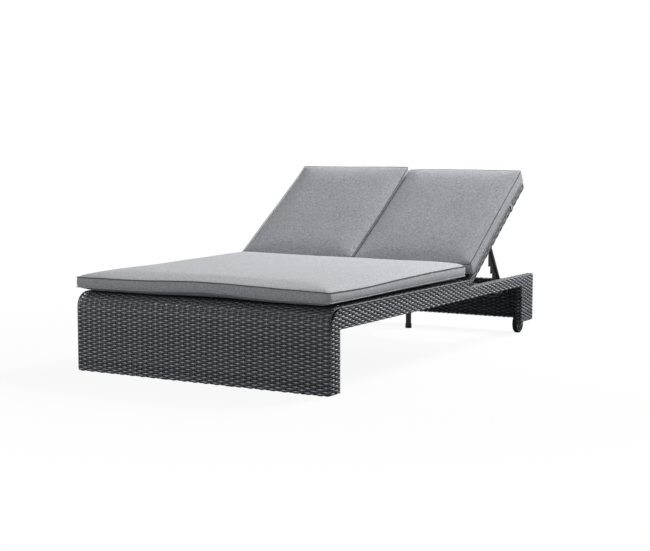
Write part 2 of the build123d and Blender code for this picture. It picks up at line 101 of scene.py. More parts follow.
def add_node(tree: bpy.types.NodeTree, kind: str, settings: dict | None = None,
             inputs: dict | None = None) -> bpy.types.Node:
    """Add a shader node with its settings and links.

    Args:
        tree: Node tree that gets the node.
        kind: Blender's name of the node type.
        settings: Attributes to set on the node.
        inputs: Values or output sockets, by the name or number of the input.

    Returns:
        The new node.
    """
    made = tree.nodes.new(kind)
    for name, value in (settings or {}).items():
        setattr(made, name, value)
    for name, value in (inputs or {}).items():
        if isinstance(value, bpy.types.NodeSocket):
            tree.links.new(value, made.inputs[name])
        else:
            made.inputs[name].default_value = value
    return made


def ramp(tree: bpy.types.NodeTree, factor: bpy.types.NodeSocket, low: float, high: float,
         colours: tuple[str, str]) -> bpy.types.NodeSocket:
    """Blend two colours as a factor goes from low to high.

    Args:
        tree: Node tree that gets the nodes.
        factor: Output that drives the blend.
        low: Factor that gives the first colour.
        high: Factor that gives the second colour.
        colours: Two sRGB hex colours.

    Returns:
        The colour output.
    """
    share = add_node(tree, "ShaderNodeMapRange", None,
                     {"Value": factor, "From Min": low, "From Max": high})
    mixed = add_node(tree, "ShaderNodeMix", {"data_type": "RGBA"},
                     {0: share.outputs[0], 6: linear(colours[0]), 7: linear(colours[1])})
    return mixed.outputs[2]


def blank(name: str) -> tuple[bpy.types.Material, bpy.types.NodeTree, bpy.types.Node]:
    """Make a material that holds only an output.

    Args:
        name: The material's name.

    Returns:
        The material, its tree and its output node.
    """
    material = bpy.data.materials.new(name)
    material.use_nodes = True
    tree = material.node_tree
    tree.nodes.clear()
    return material, tree, tree.nodes.new("ShaderNodeOutputMaterial")


@dataclass(frozen=True)
class WovenStrand:
    """Extruded polyethylene strand: dyed through, satin, pulled to a soft shine.

    The crowns are painted lighter and the dips darker: a painted highlight and painted shade over one
    dyed colour. The random tone and noise are the strand's own.
    """

    name: str = "polyethylene_strand"
    # Colour painted in the shaded dips, and below it the colour painted on the lit crowns.
    dip: str = "0c0d10"
    crown: str = "878c97"
    roughness: float = 0.36
    grain: float = 6 * MM
    uneven: float = 0.3
    dip_at: float = 0.3
    crown_at: float = 1.15
    smooth_at: float = 1.3
    dulled: float = 0.25

    def material(self) -> bpy.types.Material:
        """Build the material.

        Returns:
            The material, ready to put on a piece.
        """
        material, tree, out = blank(self.name)
        place = add_node(tree, "ShaderNodeTexCoord")
        cloud = add_node(tree, "ShaderNodeTexNoise", None,
                         {"Vector": place.outputs["Object"], "Scale": 1 / self.grain, "Detail": 2.0})
        rise = add_node(tree, "ShaderNodeAttribute", {"attribute_name": "crown"})
        tone = add_node(tree, "ShaderNodeAttribute", {"attribute_name": "tone"})
        mottle = add_node(tree, "ShaderNodeMath", {"operation": "ADD"},
                          {0: tone.outputs["Fac"], 1: cloud.outputs["Fac"]})
        shade = add_node(tree, "ShaderNodeMath", {"operation": "MULTIPLY_ADD"},
                         {0: mottle.outputs[0], 1: self.uneven, 2: rise.outputs["Fac"]})
        # The crown attribute carries painted highlight and painted shade into the colour, from the
        # shaded dips to the lit crowns.
        colour = ramp(tree, shade.outputs[0], self.dip_at, self.crown_at, (self.dip, self.crown))
        shine = add_node(tree, "ShaderNodeMapRange", None,
                         {"Value": shade.outputs[0], "From Min": self.dip_at,
                          "From Max": self.smooth_at, "To Min": self.roughness + self.dulled,
                          "To Max": self.roughness})
        bump = add_node(tree, "ShaderNodeBump", None,
                        {"Height": cloud.outputs["Fac"], "Strength": 0.3, "Distance": 0.3 * MM})
        skin = add_node(tree, "ShaderNodeBsdfPrincipled", None,
                        {"Base Color": colour, "Roughness": shine.outputs[0], "IOR": 1.51,
                         "Normal": bump.outputs[0]})
        tree.links.new(skin.outputs[0], out.inputs[0])
        return material


@dataclass(frozen=True)
class PowderCoat:
    """Baked polyester powder on metal: a fine orange-peel skin, satin, a little worn at random."""

    name: str
    colour: str = "0e0f10"
    worn: str = "191a1c"
    roughness: float = 0.38
    specular: float = 0.6
    coat: float = 0.5
    coat_roughness: float = 0.16
    peel: float = 1.4 * MM
    wear: float = 40 * MM

    def material(self) -> bpy.types.Material:
        """Build the material.

        Returns:
            The material, ready to put on a piece.
        """
        material, tree, out = blank(self.name)
        place = add_node(tree, "ShaderNodeTexCoord")
        peel = add_node(tree, "ShaderNodeTexNoise", None,
                        {"Vector": place.outputs["Object"], "Scale": 1 / self.peel, "Detail": 2.0})
        cloud = add_node(tree, "ShaderNodeTexNoise", None,
                         {"Vector": place.outputs["Object"], "Scale": 1 / self.wear, "Detail": 4.0})
        colour = ramp(tree, cloud.outputs["Fac"], 0.42, 0.72, (self.colour, self.worn))
        shine = add_node(tree, "ShaderNodeMapRange", None,
                         {"Value": cloud.outputs["Fac"], "From Min": 0.3, "From Max": 0.7,
                          "To Min": self.roughness - 0.06, "To Max": self.roughness + 0.08})
        bump = add_node(tree, "ShaderNodeBump", None,
                        {"Height": peel.outputs["Fac"], "Strength": 0.3, "Distance": 0.08 * MM})
        skin = add_node(tree, "ShaderNodeBsdfPrincipled", None,
                        {"Base Color": colour, "Roughness": shine.outputs[0],
                         "Specular IOR Level": self.specular, "Coat Weight": self.coat,
                         "Coat Roughness": self.coat_roughness, "Normal": bump.outputs[0]})
        tree.links.new(skin.outputs[0], out.inputs[0])
        return material


@dataclass(frozen=True)
class Moulded:
    """Injection-moulded plastic or rubber: dull, with the fine spark grain of its mould."""

    name: str
    colour: str
    light: str
    roughness: float
    grain: float = 0.8 * MM
    patch: float = 18 * MM

    def material(self) -> bpy.types.Material:
        """Build the material.

        Returns:
            The material, ready to put on a piece.
        """
        material, tree, out = blank(self.name)
        place = add_node(tree, "ShaderNodeTexCoord")
        spark = add_node(tree, "ShaderNodeTexVoronoi", None,
                         {"Vector": place.outputs["Object"], "Scale": 1 / self.grain})
        cloud = add_node(tree, "ShaderNodeTexNoise", None,
                         {"Vector": place.outputs["Object"], "Scale": 1 / self.patch, "Detail": 3.0})
        colour = ramp(tree, cloud.outputs["Fac"], 0.35, 0.7, (self.colour, self.light))
        bump = add_node(tree, "ShaderNodeBump", None,
                        {"Height": spark.outputs["Distance"], "Strength": 0.2, "Distance": 0.1 * MM})
        skin = add_node(tree, "ShaderNodeBsdfPrincipled", None,
                        {"Base Color": colour, "Roughness": self.roughness, "IOR": 1.5,
                         "Normal": bump.outputs[0]})
        tree.links.new(skin.outputs[0], out.inputs[0])
        return material


@dataclass(frozen=True)
class ZincPlate:
    """Zinc-plated steel: a grey metal with cloudy patches where the plating dulled."""

    name: str = "zinc_plated_steel"
    dull: str = "8c8e90"
    bright: str = "b9bcbf"
    patch: float = 6 * MM

    def material(self) -> bpy.types.Material:
        """Build the material.

        Returns:
            The material, ready to put on a piece.
        """
        material, tree, out = blank(self.name)
        place = add_node(tree, "ShaderNodeTexCoord")
        cloud = add_node(tree, "ShaderNodeTexNoise", None,
                         {"Vector": place.outputs["Object"], "Scale": 1 / self.patch, "Detail": 4.0})
        colour = ramp(tree, cloud.outputs["Fac"], 0.35, 0.65, (self.dull, self.bright))
        shine = add_node(tree, "ShaderNodeMapRange", None,
                         {"Value": cloud.outputs["Fac"], "To Min": 0.28, "To Max": 0.46})
        skin = add_node(tree, "ShaderNodeBsdfPrincipled", None,
                        {"Base Color": colour, "Roughness": shine.outputs[0], "Metallic": 1.0})
        tree.links.new(skin.outputs[0], out.inputs[0])
        return material


@dataclass(frozen=True)
class HeatherCloth:
    """Woven olefin cloth spun from light and dark fibre, so that both thread ways show as streaks.

    Threads of 0.5 mm are too fine to show, so slubs are drawn 3 mm wide and 13 mm long.
    """

    name: str
    dark: str
    mid: str
    light: str
    turn: float = 0.0
    thread: float = 3.2 * MM
    slub: float = 13 * MM
    bump: float = 0.35 * MM
    patch: float = 90 * MM
    patch_share: float = 0.08
    steps: tuple[float, float, float] = (1.22, 1.56, 1.9)

    def material(self) -> bpy.types.Material:
        """Build the material.

        Returns:
            The material, ready to put on a piece.
        """
        material, tree, out = blank(self.name)
        place = add_node(tree, "ShaderNodeTexCoord")
        flat = add_node(tree, "ShaderNodeMapping", None,
                        {"Vector": place.outputs["Object"], "Rotation": (-self.turn, 0.0, 0.0)})
        streaks = []
        for axis in range(3):
            scale = [1 / self.thread] * 3
            scale[axis] = 1 / self.slub
            pull = add_node(tree, "ShaderNodeVectorMath", {"operation": "MULTIPLY"},
                            {0: flat.outputs[0], 1: tuple(scale)})
            streak = add_node(tree, "ShaderNodeTexNoise", None,
                              {"Vector": pull.outputs[0], "Scale": 1.0, "Detail": 2.0,
                               "Roughness": 0.6})
            streaks.append(streak.outputs["Fac"])
        pair = add_node(tree, "ShaderNodeMath", {"operation": "ADD"}, {0: streaks[0], 1: streaks[1]})
        total = add_node(tree, "ShaderNodeMath", {"operation": "ADD"},
                         {0: pair.outputs[0], 1: streaks[2]})
        patch = add_node(tree, "ShaderNodeTexNoise", None,
                         {"Vector": flat.outputs[0], "Scale": 1 / self.patch, "Detail": 2.0})
        shift = add_node(tree, "ShaderNodeMath", {"operation": "MULTIPLY_ADD"},
                         {0: patch.outputs["Fac"], 1: self.patch_share, 2: total.outputs[0]})
        dark_at, mid_at, light_at = self.steps
        low = ramp(tree, shift.outputs[0], dark_at, mid_at, (self.dark, self.mid))
        share = add_node(tree, "ShaderNodeMapRange", None,
                         {"Value": shift.outputs[0], "From Min": mid_at, "From Max": light_at})
        colour = add_node(tree, "ShaderNodeMix", {"data_type": "RGBA"},
                          {0: share.outputs[0], 6: low, 7: linear(self.light)})
        bump = add_node(tree, "ShaderNodeBump", None,
                        {"Height": total.outputs[0], "Strength": 0.35, "Distance": self.bump})
        skin = add_node(tree, "ShaderNodeBsdfPrincipled", None,
                        {"Base Color": colour.outputs[2], "Roughness": 0.92, "Specular IOR Level": 0.25,
                         "Sheen Weight": 0.12, "Sheen Roughness": 0.5, "Normal": bump.outputs[0]})
        tree.links.new(skin.outputs[0], out.inputs[0])
        return material


# Lines and strands


class Route:
    """A flat line of straight runs joined by arcs, walked by distance.

    Args:
        corners: Points of the line as pairs.
        radius: Radius of the arc at each corner.
        closed: Whether the last point joins the first.
        left: Whether the way out is on the left of the walk.
    """

    arc_steps = 6

    def __init__(self, corners: list, radius: float, closed: bool = False, left: bool = True) -> None:
        """Lay the line out and measure it."""
        points = [np.array(c, float) for c in corners]
        line = [] if closed else [points[0]]
        inner = range(len(points)) if closed else range(1, len(points) - 1)
        for i in inner:
            line += self._arc(points[i - 1], points[i], points[(i + 1) % len(points)], radius)
        line.append(line[0] if closed else points[-1])
        self.line = np.array(line)
        runs = np.diff(self.line, axis=0)
        lengths = np.linalg.norm(runs, axis=1)
        keep = np.concatenate(([True], lengths > 1e-9))
        self.line = self.line[keep]
        runs = np.diff(self.line, axis=0)
        lengths = np.linalg.norm(runs, axis=1)
        self.distance = np.concatenate(([0.0], np.cumsum(lengths)))
        way = runs / lengths[:, None]
        turned = np.stack((-way[:, 1], way[:, 0]), 1) * (1 if left else -1)
        ends = (turned[-1], turned[0]) if closed else (turned[0], turned[-1])
        before = np.vstack((ends[0], turned))
        after = np.vstack((turned, ends[1]))
        self.out = before + after
        self.length = float(self.distance[-1])
        self.closed = closed

    @classmethod
    def straight(cls, length: float) -> "Route":
        """A route of one straight run.

        Args:
            length: Length of the run.

        Returns:
            The route, with its way out on the left.
        """
        return cls([(0, 0), (length, 0)], 0)

    def _arc(self, before: np.ndarray, here: np.ndarray, after: np.ndarray, radius: float) -> list:
        """Points of the arc that rounds one corner."""
        a, b = before - here, after - here
        run_a, run_b = np.linalg.norm(a), np.linalg.norm(b)
        a, b = a / run_a, b / run_b
        half_turn = (math.pi - math.acos(float(np.clip(a @ b, -1, 1)))) / 2
        if half_turn < 1e-4 or radius <= 0:
            return [here]
        cut = min(radius * math.tan(half_turn), run_a * 0.5, run_b * 0.5)
        true_radius = cut / math.tan(half_turn)
        middle = (a + b) / np.linalg.norm(a + b)
        centre = here + middle * true_radius / math.cos(half_turn)
        start, end = here + a * cut - centre, here + b * cut - centre
        sweep = 2 * half_turn
        found = []
        for step in range(self.arc_steps + 1):
            t = step / self.arc_steps
            mix = (math.sin((1 - t) * sweep) * start + math.sin(t * sweep) * end) / math.sin(sweep)
            found.append(centre + mix)
        return found

    def at(self, distance: np.ndarray) -> tuple[np.ndarray, np.ndarray]:
        """Points and ways out at these distances.

        Args:
            distance: Distances from the start; a closed line wraps.

        Returns:
            Points and unit ways out, both as rows of pairs.
        """
        d = np.mod(distance, self.length) if self.closed else np.clip(distance, 0, self.length)
        points = np.stack([np.interp(d, self.distance, self.line[:, i]) for i in (0, 1)], 1)
        out = np.stack([np.interp(d, self.distance, self.out[:, i]) for i in (0, 1)], 1)
        return points, out / np.linalg.norm(out, axis=1)[:, None]


@dataclass
class Thread:
    """The middle line of one strand, its way out, and its count of crossings passed."""

    points: np.ndarray
    out: np.ndarray
    phase: np.ndarray
    closed: bool = False


@dataclass(frozen=True)
class Plane:
    """A flat drawing plane in space."""

    origin: np.ndarray
    u: np.ndarray
    v: np.ndarray

    def place(self, points: np.ndarray, out: np.ndarray) -> tuple[np.ndarray, np.ndarray]:
        """Turn the plane's pairs into space.

        Args:
            points: Points as pairs.
            out: Ways out as pairs.

        Returns:
            Points and ways out in space.
        """
        where = self.origin + points[:, :1] * self.u + points[:, 1:] * self.v
        return where, out[:, :1] * self.u + out[:, 1:] * self.v


def thread_on(plane: Plane, route: Route, stations: np.ndarray, steps: int) -> Thread:
    """Lay a strand's line along a route, with its crossings at the stations.

    Args:
        plane: Plane that holds the route.
        route: Line to follow.
        stations: Distances of the crossings along the route.
        steps: Divisions between two crossings.

    Returns:
        The strand's line in space.
    """
    stations = np.sort(np.asarray(stations, float))
    count = len(stations)
    if route.closed:
        knots = np.append(stations, stations[0] + route.length)
        beats = np.arange(count + 1, dtype=float)
    else:
        first = stations[0] / (stations[1] - stations[0]) if count > 1 else 0.5
        last = (route.length - stations[-1]) / (stations[-1] - stations[-2]) if count > 1 else 0.5
        knots = np.concatenate(([0.0], stations, [route.length]))
        beats = np.concatenate(([-first], np.arange(count), [count - 1 + last]))
    samples = []
    for a, b, beat_a, beat_b in zip(knots[:-1], knots[1:], beats[:-1], beats[1:]):
        if b - a > 1e-6:
            samples.append(np.linspace(a, b, max(1, round(steps * (beat_b - beat_a))), endpoint=False))
    distance = np.append(np.concatenate(samples), knots[-1])
    points, out = plane.place(*route.at(distance))
    return Thread(points, out, np.interp(distance, knots, beats), route.closed)


@dataclass(frozen=True)
class Weft:
    """The domed strand that passes over and under the stakes."""

    width: float = 7.8 * MM
    thick: float = 1.7 * MM
    sway: float = 2.3 * MM
    steps: int = 6

    def section(self) -> np.ndarray:
        """Outline of the domed section.

        Returns:
            Closed outline as pairs of across and out.
        """
        half, top = self.width / 2, self.thick
        dome = [(-half, 0.1 * top), (-0.72 * half, 0.82 * top), (0, top), (0.72 * half, 0.82 * top),
                (half, 0.1 * top), (0, 0)]
        return np.array(dome) - (0, top / 2)


@dataclass(frozen=True)
class Stake:
    """The flat strand that the weft passes over and under."""

    width: float = 4.6 * MM
    thick: float = 1.4 * MM

    def section(self) -> np.ndarray:
        """Outline of the flat section.

        Returns:
            Closed outline as pairs of across and out.
        """
        half, top = self.width / 2, self.thick / 2
        return np.array([(-half, -top), (-half, top), (half, top), (half, -top)])


@dataclass(frozen=True)
class Cord:
    """A round strand, such as a binding or a piping."""

    radius: float
    sides: int = 8

    def section(self) -> np.ndarray:
        """Outline of the round section.

        Returns:
            Closed outline as pairs of across and out.
        """
        turn = np.linspace(0, 2 * math.pi, self.sides, endpoint=False)
        return np.stack((-np.cos(turn), np.sin(turn)), 1) * self.radius


@dataclass(frozen=True)
class WeavePattern:
    """Spacing of the weave, measured on the object: two rows in 17 mm, a stake each 26 mm."""

    row: float = 8.5 * MM
    stake: float = 26.0 * MM
    depth: float = -0.6 * MM
    weft: Weft = field(default_factory=Weft)
    rough_weft: Weft = field(default_factory=lambda: Weft(steps=4))
    rail_weft: Weft = field(default_factory=lambda: Weft(sway=0.7 * MM, steps=4))
    edge_depth: float = 1.1 * MM
    # Painted light kept by the rows on narrow edges, on the backrest rails and on the rear panel, where
    # below 1 is painted shade. The share after them is the height on a rail above which the cushion's
    # painted shade starts.
    edge_pale: float = 0.0
    rail_pale: float = 0.45
    panel_pale: float = 0.5
    rail_covered: float = 0.2
    stakes: Stake = field(default_factory=Stake)


PATTERN = WeavePattern()


class Weave:
    """The strands of one piece, gathered in one mesh.

    Args:
        name: Name of the piece.
    """

    merge = 0.002 * MM
    sharp = math.radians(60)
    # Painted light on strands that do not sway, and the power that narrows the painted highlight on a
    # swaying strand's crowns.
    flat_crown = 0.3
    crown_power = 3.0

    def __init__(self, name: str) -> None:
        """Start with no strand."""
        self.name = name
        self.bm = bmesh.new()
        self.scratch = bpy.data.meshes.new(name + "_scratch")
        self.random = np.random.default_rng(SEED + len(name))

    def strand(self, thread: Thread, section: np.ndarray, sway: float = 0.0, beat: int = 0,
               depth: float = 0.0, fade: float = 1.0) -> None:
        """Add a closed strand along a line.

        Args:
            thread: Line of the strand.
            section: Closed outline across it.
            sway: How far it goes out and in.
            beat: Added to the count of crossings, so that 1 swaps over and under.
            depth: How far the whole strand lies inside its line.
            fade: How much painted light its crowns keep, from 0 for full painted shade to 1.
        """
        wave = np.cos(math.pi * (thread.phase + beat))
        line = thread.points + thread.out * (sway * wave - depth)[:, None]
        if thread.closed:
            ahead = np.roll(line[:-1], -1, 0) - np.roll(line[:-1], 1, 0)
            ahead = np.vstack((ahead, ahead[:1]))
        else:
            ahead = np.gradient(line, axis=0)
        ahead /= np.linalg.norm(ahead, axis=1)[:, None]
        across = np.cross(ahead, thread.out)
        across /= np.linalg.norm(across, axis=1)[:, None]
        out = np.cross(across, ahead)
        size = np.ones(len(line))
        if not thread.closed:
            size[0] = size[-1] = 0.0
        looped = np.vstack((section, section[:1]))
        rings = (line[None] + looped[:, None, :1] * (across * size[:, None])[None]
                 + looped[:, None, 1:] * (out * size[:, None])[None])
        # Painted highlight where the strand rides over a stake and painted shade where it dips under,
        # scaled down for rows in shade.
        painted_level = (0.5 + 0.5 * wave) ** self.crown_power if sway else np.full(len(line), self.flat_crown)
        crowns = np.tile(painted_level * fade, len(looped))
        small = bmesh.new()
        bmesh.ops.create_grid(small, x_segments=len(line) - 1, y_segments=len(section), size=1.0)
        crown = small.verts.layers.float.new("crown")
        tone = small.verts.layers.float.new("tone")
        shade = float(self.random.uniform())
        for vert, place, rise in zip(small.verts, rings.reshape(-1, 3), crowns):
            vert.co = place
            vert[crown] = rise
            vert[tone] = shade
        bmesh.ops.remove_doubles(small, verts=small.verts, dist=self.merge)
        small.to_mesh(self.scratch)
        small.free()
        self.bm.from_mesh(self.scratch)

    def row(self, plane: Plane, route: Route, stations: np.ndarray, weft: Weft, beat: int,
            depth: float = PATTERN.depth, fade: float = 1.0) -> None:
        """Add one strand that passes over and under the stakes.

        Args:
            plane: Plane of the row.
            route: Its way in the plane.
            stations: Distances of the stakes along it.
            weft: Strand of the row.
            beat: Count of rows and skipped stakes before it, so that neighbours swap over and under.
            depth: How far it lies inside its line.
            fade: How much painted light it keeps, from 0 for full painted shade to 1.
        """
        line = thread_on(plane, route, stations, weft.steps)
        self.strand(line, weft.section(), weft.sway, beat, depth, fade)

    def stake(self, plane: Plane, route: Route, knots: np.ndarray, depth: float = PATTERN.depth,
              steps: int = 1) -> None:
        """Add one flat strand that the rows pass over and under.

        Args:
            plane: Plane of the stake.
            route: Its way in the plane.
            knots: Distances along it where it gets a point.
            depth: How far it lies inside its line.
            steps: Divisions between two knots.
        """
        line = thread_on(plane, route, knots, steps)
        # The stakes get no painted light: they are painted in full shade between the rows.
        self.strand(line, PATTERN.stakes.section(), 0, 0, depth, 0.0)

    def finish(self, material: bpy.types.Material, body: str, slot: str,
               *nodes: str) -> bpy.types.Object:
        """Close the piece and put it on its body.

        Args:
            material: Finish of the strands.
            body: Body that it rides on.
            slot: Material slot of the record.
            nodes: CAD nodes that it stands for.

        Returns:
            The piece.
        """
        bmesh.ops.recalc_face_normals(self.bm, faces=self.bm.faces)
        mesh = bpy.data.meshes.new(self.name)
        self.bm.to_mesh(mesh)
        self.bm.free()
        bpy.data.meshes.remove(self.scratch)
        mesh.shade_smooth()
        mesh.set_sharp_from_angle(angle=self.sharp)
        return place_piece(self.name, mesh, material, body, slot, *nodes)


def place_piece(name: str, mesh: bpy.types.Mesh, material: bpy.types.Material, body: str, slot: str,
                *nodes: str) -> bpy.types.Object:
    """Make an object of a mesh and put it on its body.

    Args:
        name: Name of the piece.
        mesh: Its mesh, in place.
        material: Its finish.
        body: Body that it rides on.
        slot: Material slot of the record; not used.
        nodes: CAD nodes that it stands for.

    Returns:
        The piece.
    """
    piece = bpy.data.objects.new(name, mesh)
    bpy.context.scene.collection.objects.link(piece)
    mesh.materials.clear()
    mesh.materials.append(material)
    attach(piece, body)
    if nodes:
        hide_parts(*nodes)
    faces = sum(len(p.vertices) - 2 for p in mesh.polygons)
    log.info("%s: %d triangles on %s", name, faces, body)
    return piece


def spread(low: float, high: float, pitch: float) -> np.ndarray:
    """Even places between two ends, half a pitch inside each, with an even count.

    Args:
        low: First end.
        high: Second end.
        pitch: Spacing to come near.

    Returns:
        The places.
    """
    count = max(2, 2 * round((high - low) / pitch / 2))
    step = (high - low) / count
    return low + step * (np.arange(count) + 0.5)


def woven_panel(weave: Weave, origin: np.ndarray, u: np.ndarray, v: np.ndarray, out: np.ndarray,
                size: tuple[float, float], weft: Weft) -> None:
    """Weave a flat panel, with its rows along u.

    Args:
        weave: Piece that gets the strands.
        origin: Corner of the panel.
        u: Way of the rows.
        v: Way of the stakes.
        out: Way that the panel faces.
        size: Its size along u and v.
        weft: Strand of the rows.
    """
    stations = spread(0, size[0], PATTERN.stake)
    across, up = Route.straight(size[0]), Route.straight(size[1])
    for beat, at in enumerate(spread(0, size[1], PATTERN.row)):
        weave.row(Plane(origin + v * at, u, out), across, stations, weft, beat)
    for at in stations:
        weave.stake(Plane(origin + u * at, v, out), up, (size[1] / 2,), steps=2)


def woven_sleeve(weave: Weave, origin: np.ndarray, along: np.ndarray, length: float, a: np.ndarray,
                 b: np.ndarray, size: tuple[float, float], radius: float, weft: Weft, depth: float,
                 painted_level: float, covered: float) -> None:
    """Weave round a straight member, with its rows lengthwise.

    Args:
        weave: Piece that gets the strands.
        origin: Middle of the member's section at its start.
        along: Way of its length.
        length: Its length.
        a: First way across.
        b: Second way across.
        size: Section along a and b.
        radius: Radius of its edges.
        weft: Strand of the rows.
        depth: How far the weave lies inside the section.
        painted_level: How much painted light its rows keep, from 0 for full painted shade to 1.
        covered: Height along b, as a share of half the section, above which its rows are painted in full
            shade under a cushion.
    """
    half_a, half_b = size[0] / 2, size[1] / 2
    corners = [(-half_a, -half_b), (half_a, -half_b), (half_a, half_b), (-half_a, half_b)]
    round_route = Route(corners, radius, closed=True, left=False)
    count = 2 * round(round_route.length / PATTERN.row / 2)
    knots = np.arange(count) * round_route.length / count
    stations = spread(0, length, PATTERN.stake)
    straight = Route.straight(length)
    for beat, (place, way) in enumerate(zip(*round_route.at(knots))):
        start = origin + a * place[0] + b * place[1]
        face = a * way[0] + b * way[1]
        # Rows high under a cushion are painted in full shade; the others keep the given painted light.
        fade = PATTERN.edge_pale if place[1] > covered * half_b else painted_level
        weave.row(Plane(start, along, face), straight, stations, weft, beat, depth, fade)
    for at in stations:
        weave.stake(Plane(origin + along * at, a, b), round_route, knots, depth)


# Base


@dataclass
class Base:
    """Front panel that rolls over into the deck, two side boards, rear panel and deck."""

    strand: bpy.types.Material
    board: float = 30 * MM
    roll: float = 105 * MM
    roll_run: float = 10 * MM
    front_leg: float = 76 * MM
    rear_leg: float = 158 * MM
    rail_bottom: float = 245 * MM
    rail_top: float = 296 * MM
    leg_bottom: float = 62 * MM
    edge: float = 6 * MM
    rail_corner: float = 14 * MM
    tuck: float = 8 * MM
    inset: float = 3 * MM
    start: float = 1.6 * MM
    sunk: float = 1.7 * MM
    binding: float = 1.7 * MM
    binding_inset: float = 1.2 * MM
    binding_depth: float = 2.6 * MM
    # Painted light kept by the binding: painted shade, so that it does not show as a light line.
    binding_pale: float = 0.3
    side_stake: float = 25.5 * MM
    first_stake: float = 22 * MM
    first_row: float = 1.75 * MM
    rows_below: int = 28
    rows_above: int = 10
    rear_leg_rows: int = 21
    clear_start: float = 4 * MM
    clear_end: float = 2 * MM
    lanes: tuple[float, float, float] = (0.2, 0.5, 0.8)
    stake_knots: float = 40 * MM
    # Painted light kept by the legs and the rear leg, painted shade below the rail. After them come the
    # least light kept close under the seat cushion and the runs over which that painted shade lifts.
    leg_pale: float = 0.8
    rear_leg_pale: float = 0.62
    least_pale: float = 0.05
    roll_shade: float = 62 * MM
    rail_shade: float = 22 * MM

    def __post_init__(self) -> None:
        """Read the places from the frame."""
        low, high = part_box("right_side_skin")
        front_low, front_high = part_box("front_panel_skin")
        deck_low, deck_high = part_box("seat_deck")
        rear_low, rear_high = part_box("rear_panel_skin")
        self.half = front_high.x
        self.foot = front_low.y
        self.head = high.y
        self.floor = front_low.z
        self.seat_top = high.z
        self.step = deck_high.y
        self.deck = (deck_low, deck_high)
        self.rear = (rear_low, rear_high)
        self.bend_y = self.foot + self.roll
        self.bend_z = self.seat_top - self.roll
        count = int((self.head - self.foot) / self.side_stake)
        self.stations = self.foot + self.first_stake + self.side_stake * np.arange(count)
        self.corner_arc = math.pi / 2 * self.edge
        self.corner_cut = (2 - math.pi / 2) * self.edge

    def front(self) -> None:
        """Weave the face and roll of the front panel, its back and its lower edge."""
        edge = self.half - self.inset
        face = Route([(self.foot, self.floor), (self.foot, self.seat_top),
                      (self.bend_y + self.roll_run, self.seat_top)], self.roll)
        stations = spread(-self.half, self.half, PATTERN.stake)
        rows = np.arange(PATTERN.row / 2, face.length - PATTERN.row / 4, PATTERN.row)
        across = Route([(-edge, -self.tuck), (-edge, 0), (edge, 0), (edge, -self.tuck)], self.edge)
        weave = Weave("front_panel_weave")
        upper = Weave("front_roll_weave")
        for beat, (point, way) in enumerate(zip(*face.at(rows))):
            plane = Plane(np.array((0, *point)), X_AXIS, np.array((0, *way)))
            home = weave if point[1] < self.bend_z else upper
            # Rows of the roll close under the seat cushion are painted in shade.
            home.row(plane, across, stations + across.length / 2, PATTERN.weft, beat,
                     fade=self.paled(point[1], self.roll_shade))
        for x in stations:
            weave.stake(Plane(X_AXIS * x, Y_AXIS, Z_AXIS), face, rows)
        # The bindings are painted in shade.
        for sign in (-1, 1):
            plane = Plane(X_AXIS * sign * (self.half - self.binding_inset), Y_AXIS, Z_AXIS)
            upper.strand(thread_on(plane, face, rows, 1), Cord(self.binding).section(), 0, 0,
                         self.binding_depth, self.binding_pale)
        weave.finish(self.strand, "root", "wicker", "front_panel_skin")
        upper.finish(self.strand, "root", "wicker", "front_panel_skin")
        self._front_back()

    def paled(self, z: float, run: float) -> float:
        """How much painted light a strand keeps, with painted shade close under the seat cushion.

        Args:
            z: Height of the strand.
            run: Depth below the cushion at which it keeps its full painted light.

        Returns:
            A share from 0 to 1.
        """
        return float(np.clip((self.seat_top - z) / run, self.least_pale, 1.0))

    def _front_back(self) -> None:
        """Weave the hidden side of the front panel and its lower edge."""
        inner_half = self.half - self.board
        back_y = self.foot + self.board
        inside = Route([(back_y, self.floor), (back_y, self.seat_top - self.board),
                        (self.bend_y + self.roll_run, self.seat_top - self.board)],
                       self.roll - self.board, left=False)
        stations = spread(-inner_half, inner_half, PATTERN.stake)
        weft = PATTERN.rough_weft
        weave = Weave("front_panel_back_weave")
        rows = spread(0, inside.length, PATTERN.row)
        straight = Route.straight(2 * inner_half)
        for beat, (point, way) in enumerate(zip(*inside.at(rows))):
            plane = Plane(np.array((-inner_half, *point)), X_AXIS, np.array((0, *way)))
            weave.row(plane, straight, stations + inner_half, weft, beat)
        for x in stations:
            weave.stake(Plane(X_AXIS * x, Y_AXIS, Z_AXIS), inside, rows)
        woven_panel(weave, np.array((-self.half + self.edge, self.foot + self.inset, self.floor)),
                    X_AXIS, Y_AXIS, -Z_AXIS, (2 * (self.half - self.edge), self.board - 4 * MM), weft)
        weave.finish(self.strand, "root", "wicker", "front_panel_skin")

    def front_reach(self, z: float) -> tuple[float, float]:
        """Where a side row starts on the outer face and ends on the inner face.

        Args:
            z: Height of the row.

        Returns:
            Y of the start and of the end.
        """
        if z <= self.bend_z:
            return self.foot + self.start, self.foot + self.board
        up = z - self.bend_z
        outer = self.bend_y - math.sqrt(max(self.roll ** 2 - up ** 2, 0)) + self.start
        inner = self.roll - self.board
        if up >= inner:
            return outer, self.bend_y + self.roll_run
        return outer, self.bend_y - math.sqrt(inner ** 2 - up ** 2)

    def back_reach(self, z: float) -> float:
        """Where a side row ends at the rear.

        Args:
            z: Height of the row.

        Returns:
            Y of its rear end.
        """
        if z > self.rail_top:
            return self.step
        if z < self.rail_bottom:
            return self.foot + self.front_leg
        over = z - (self.rail_top - self.rail_corner)
        if over <= 0:
            return self.head
        return self.head - self.rail_corner + math.sqrt(max(self.rail_corner ** 2 - over ** 2, 0))

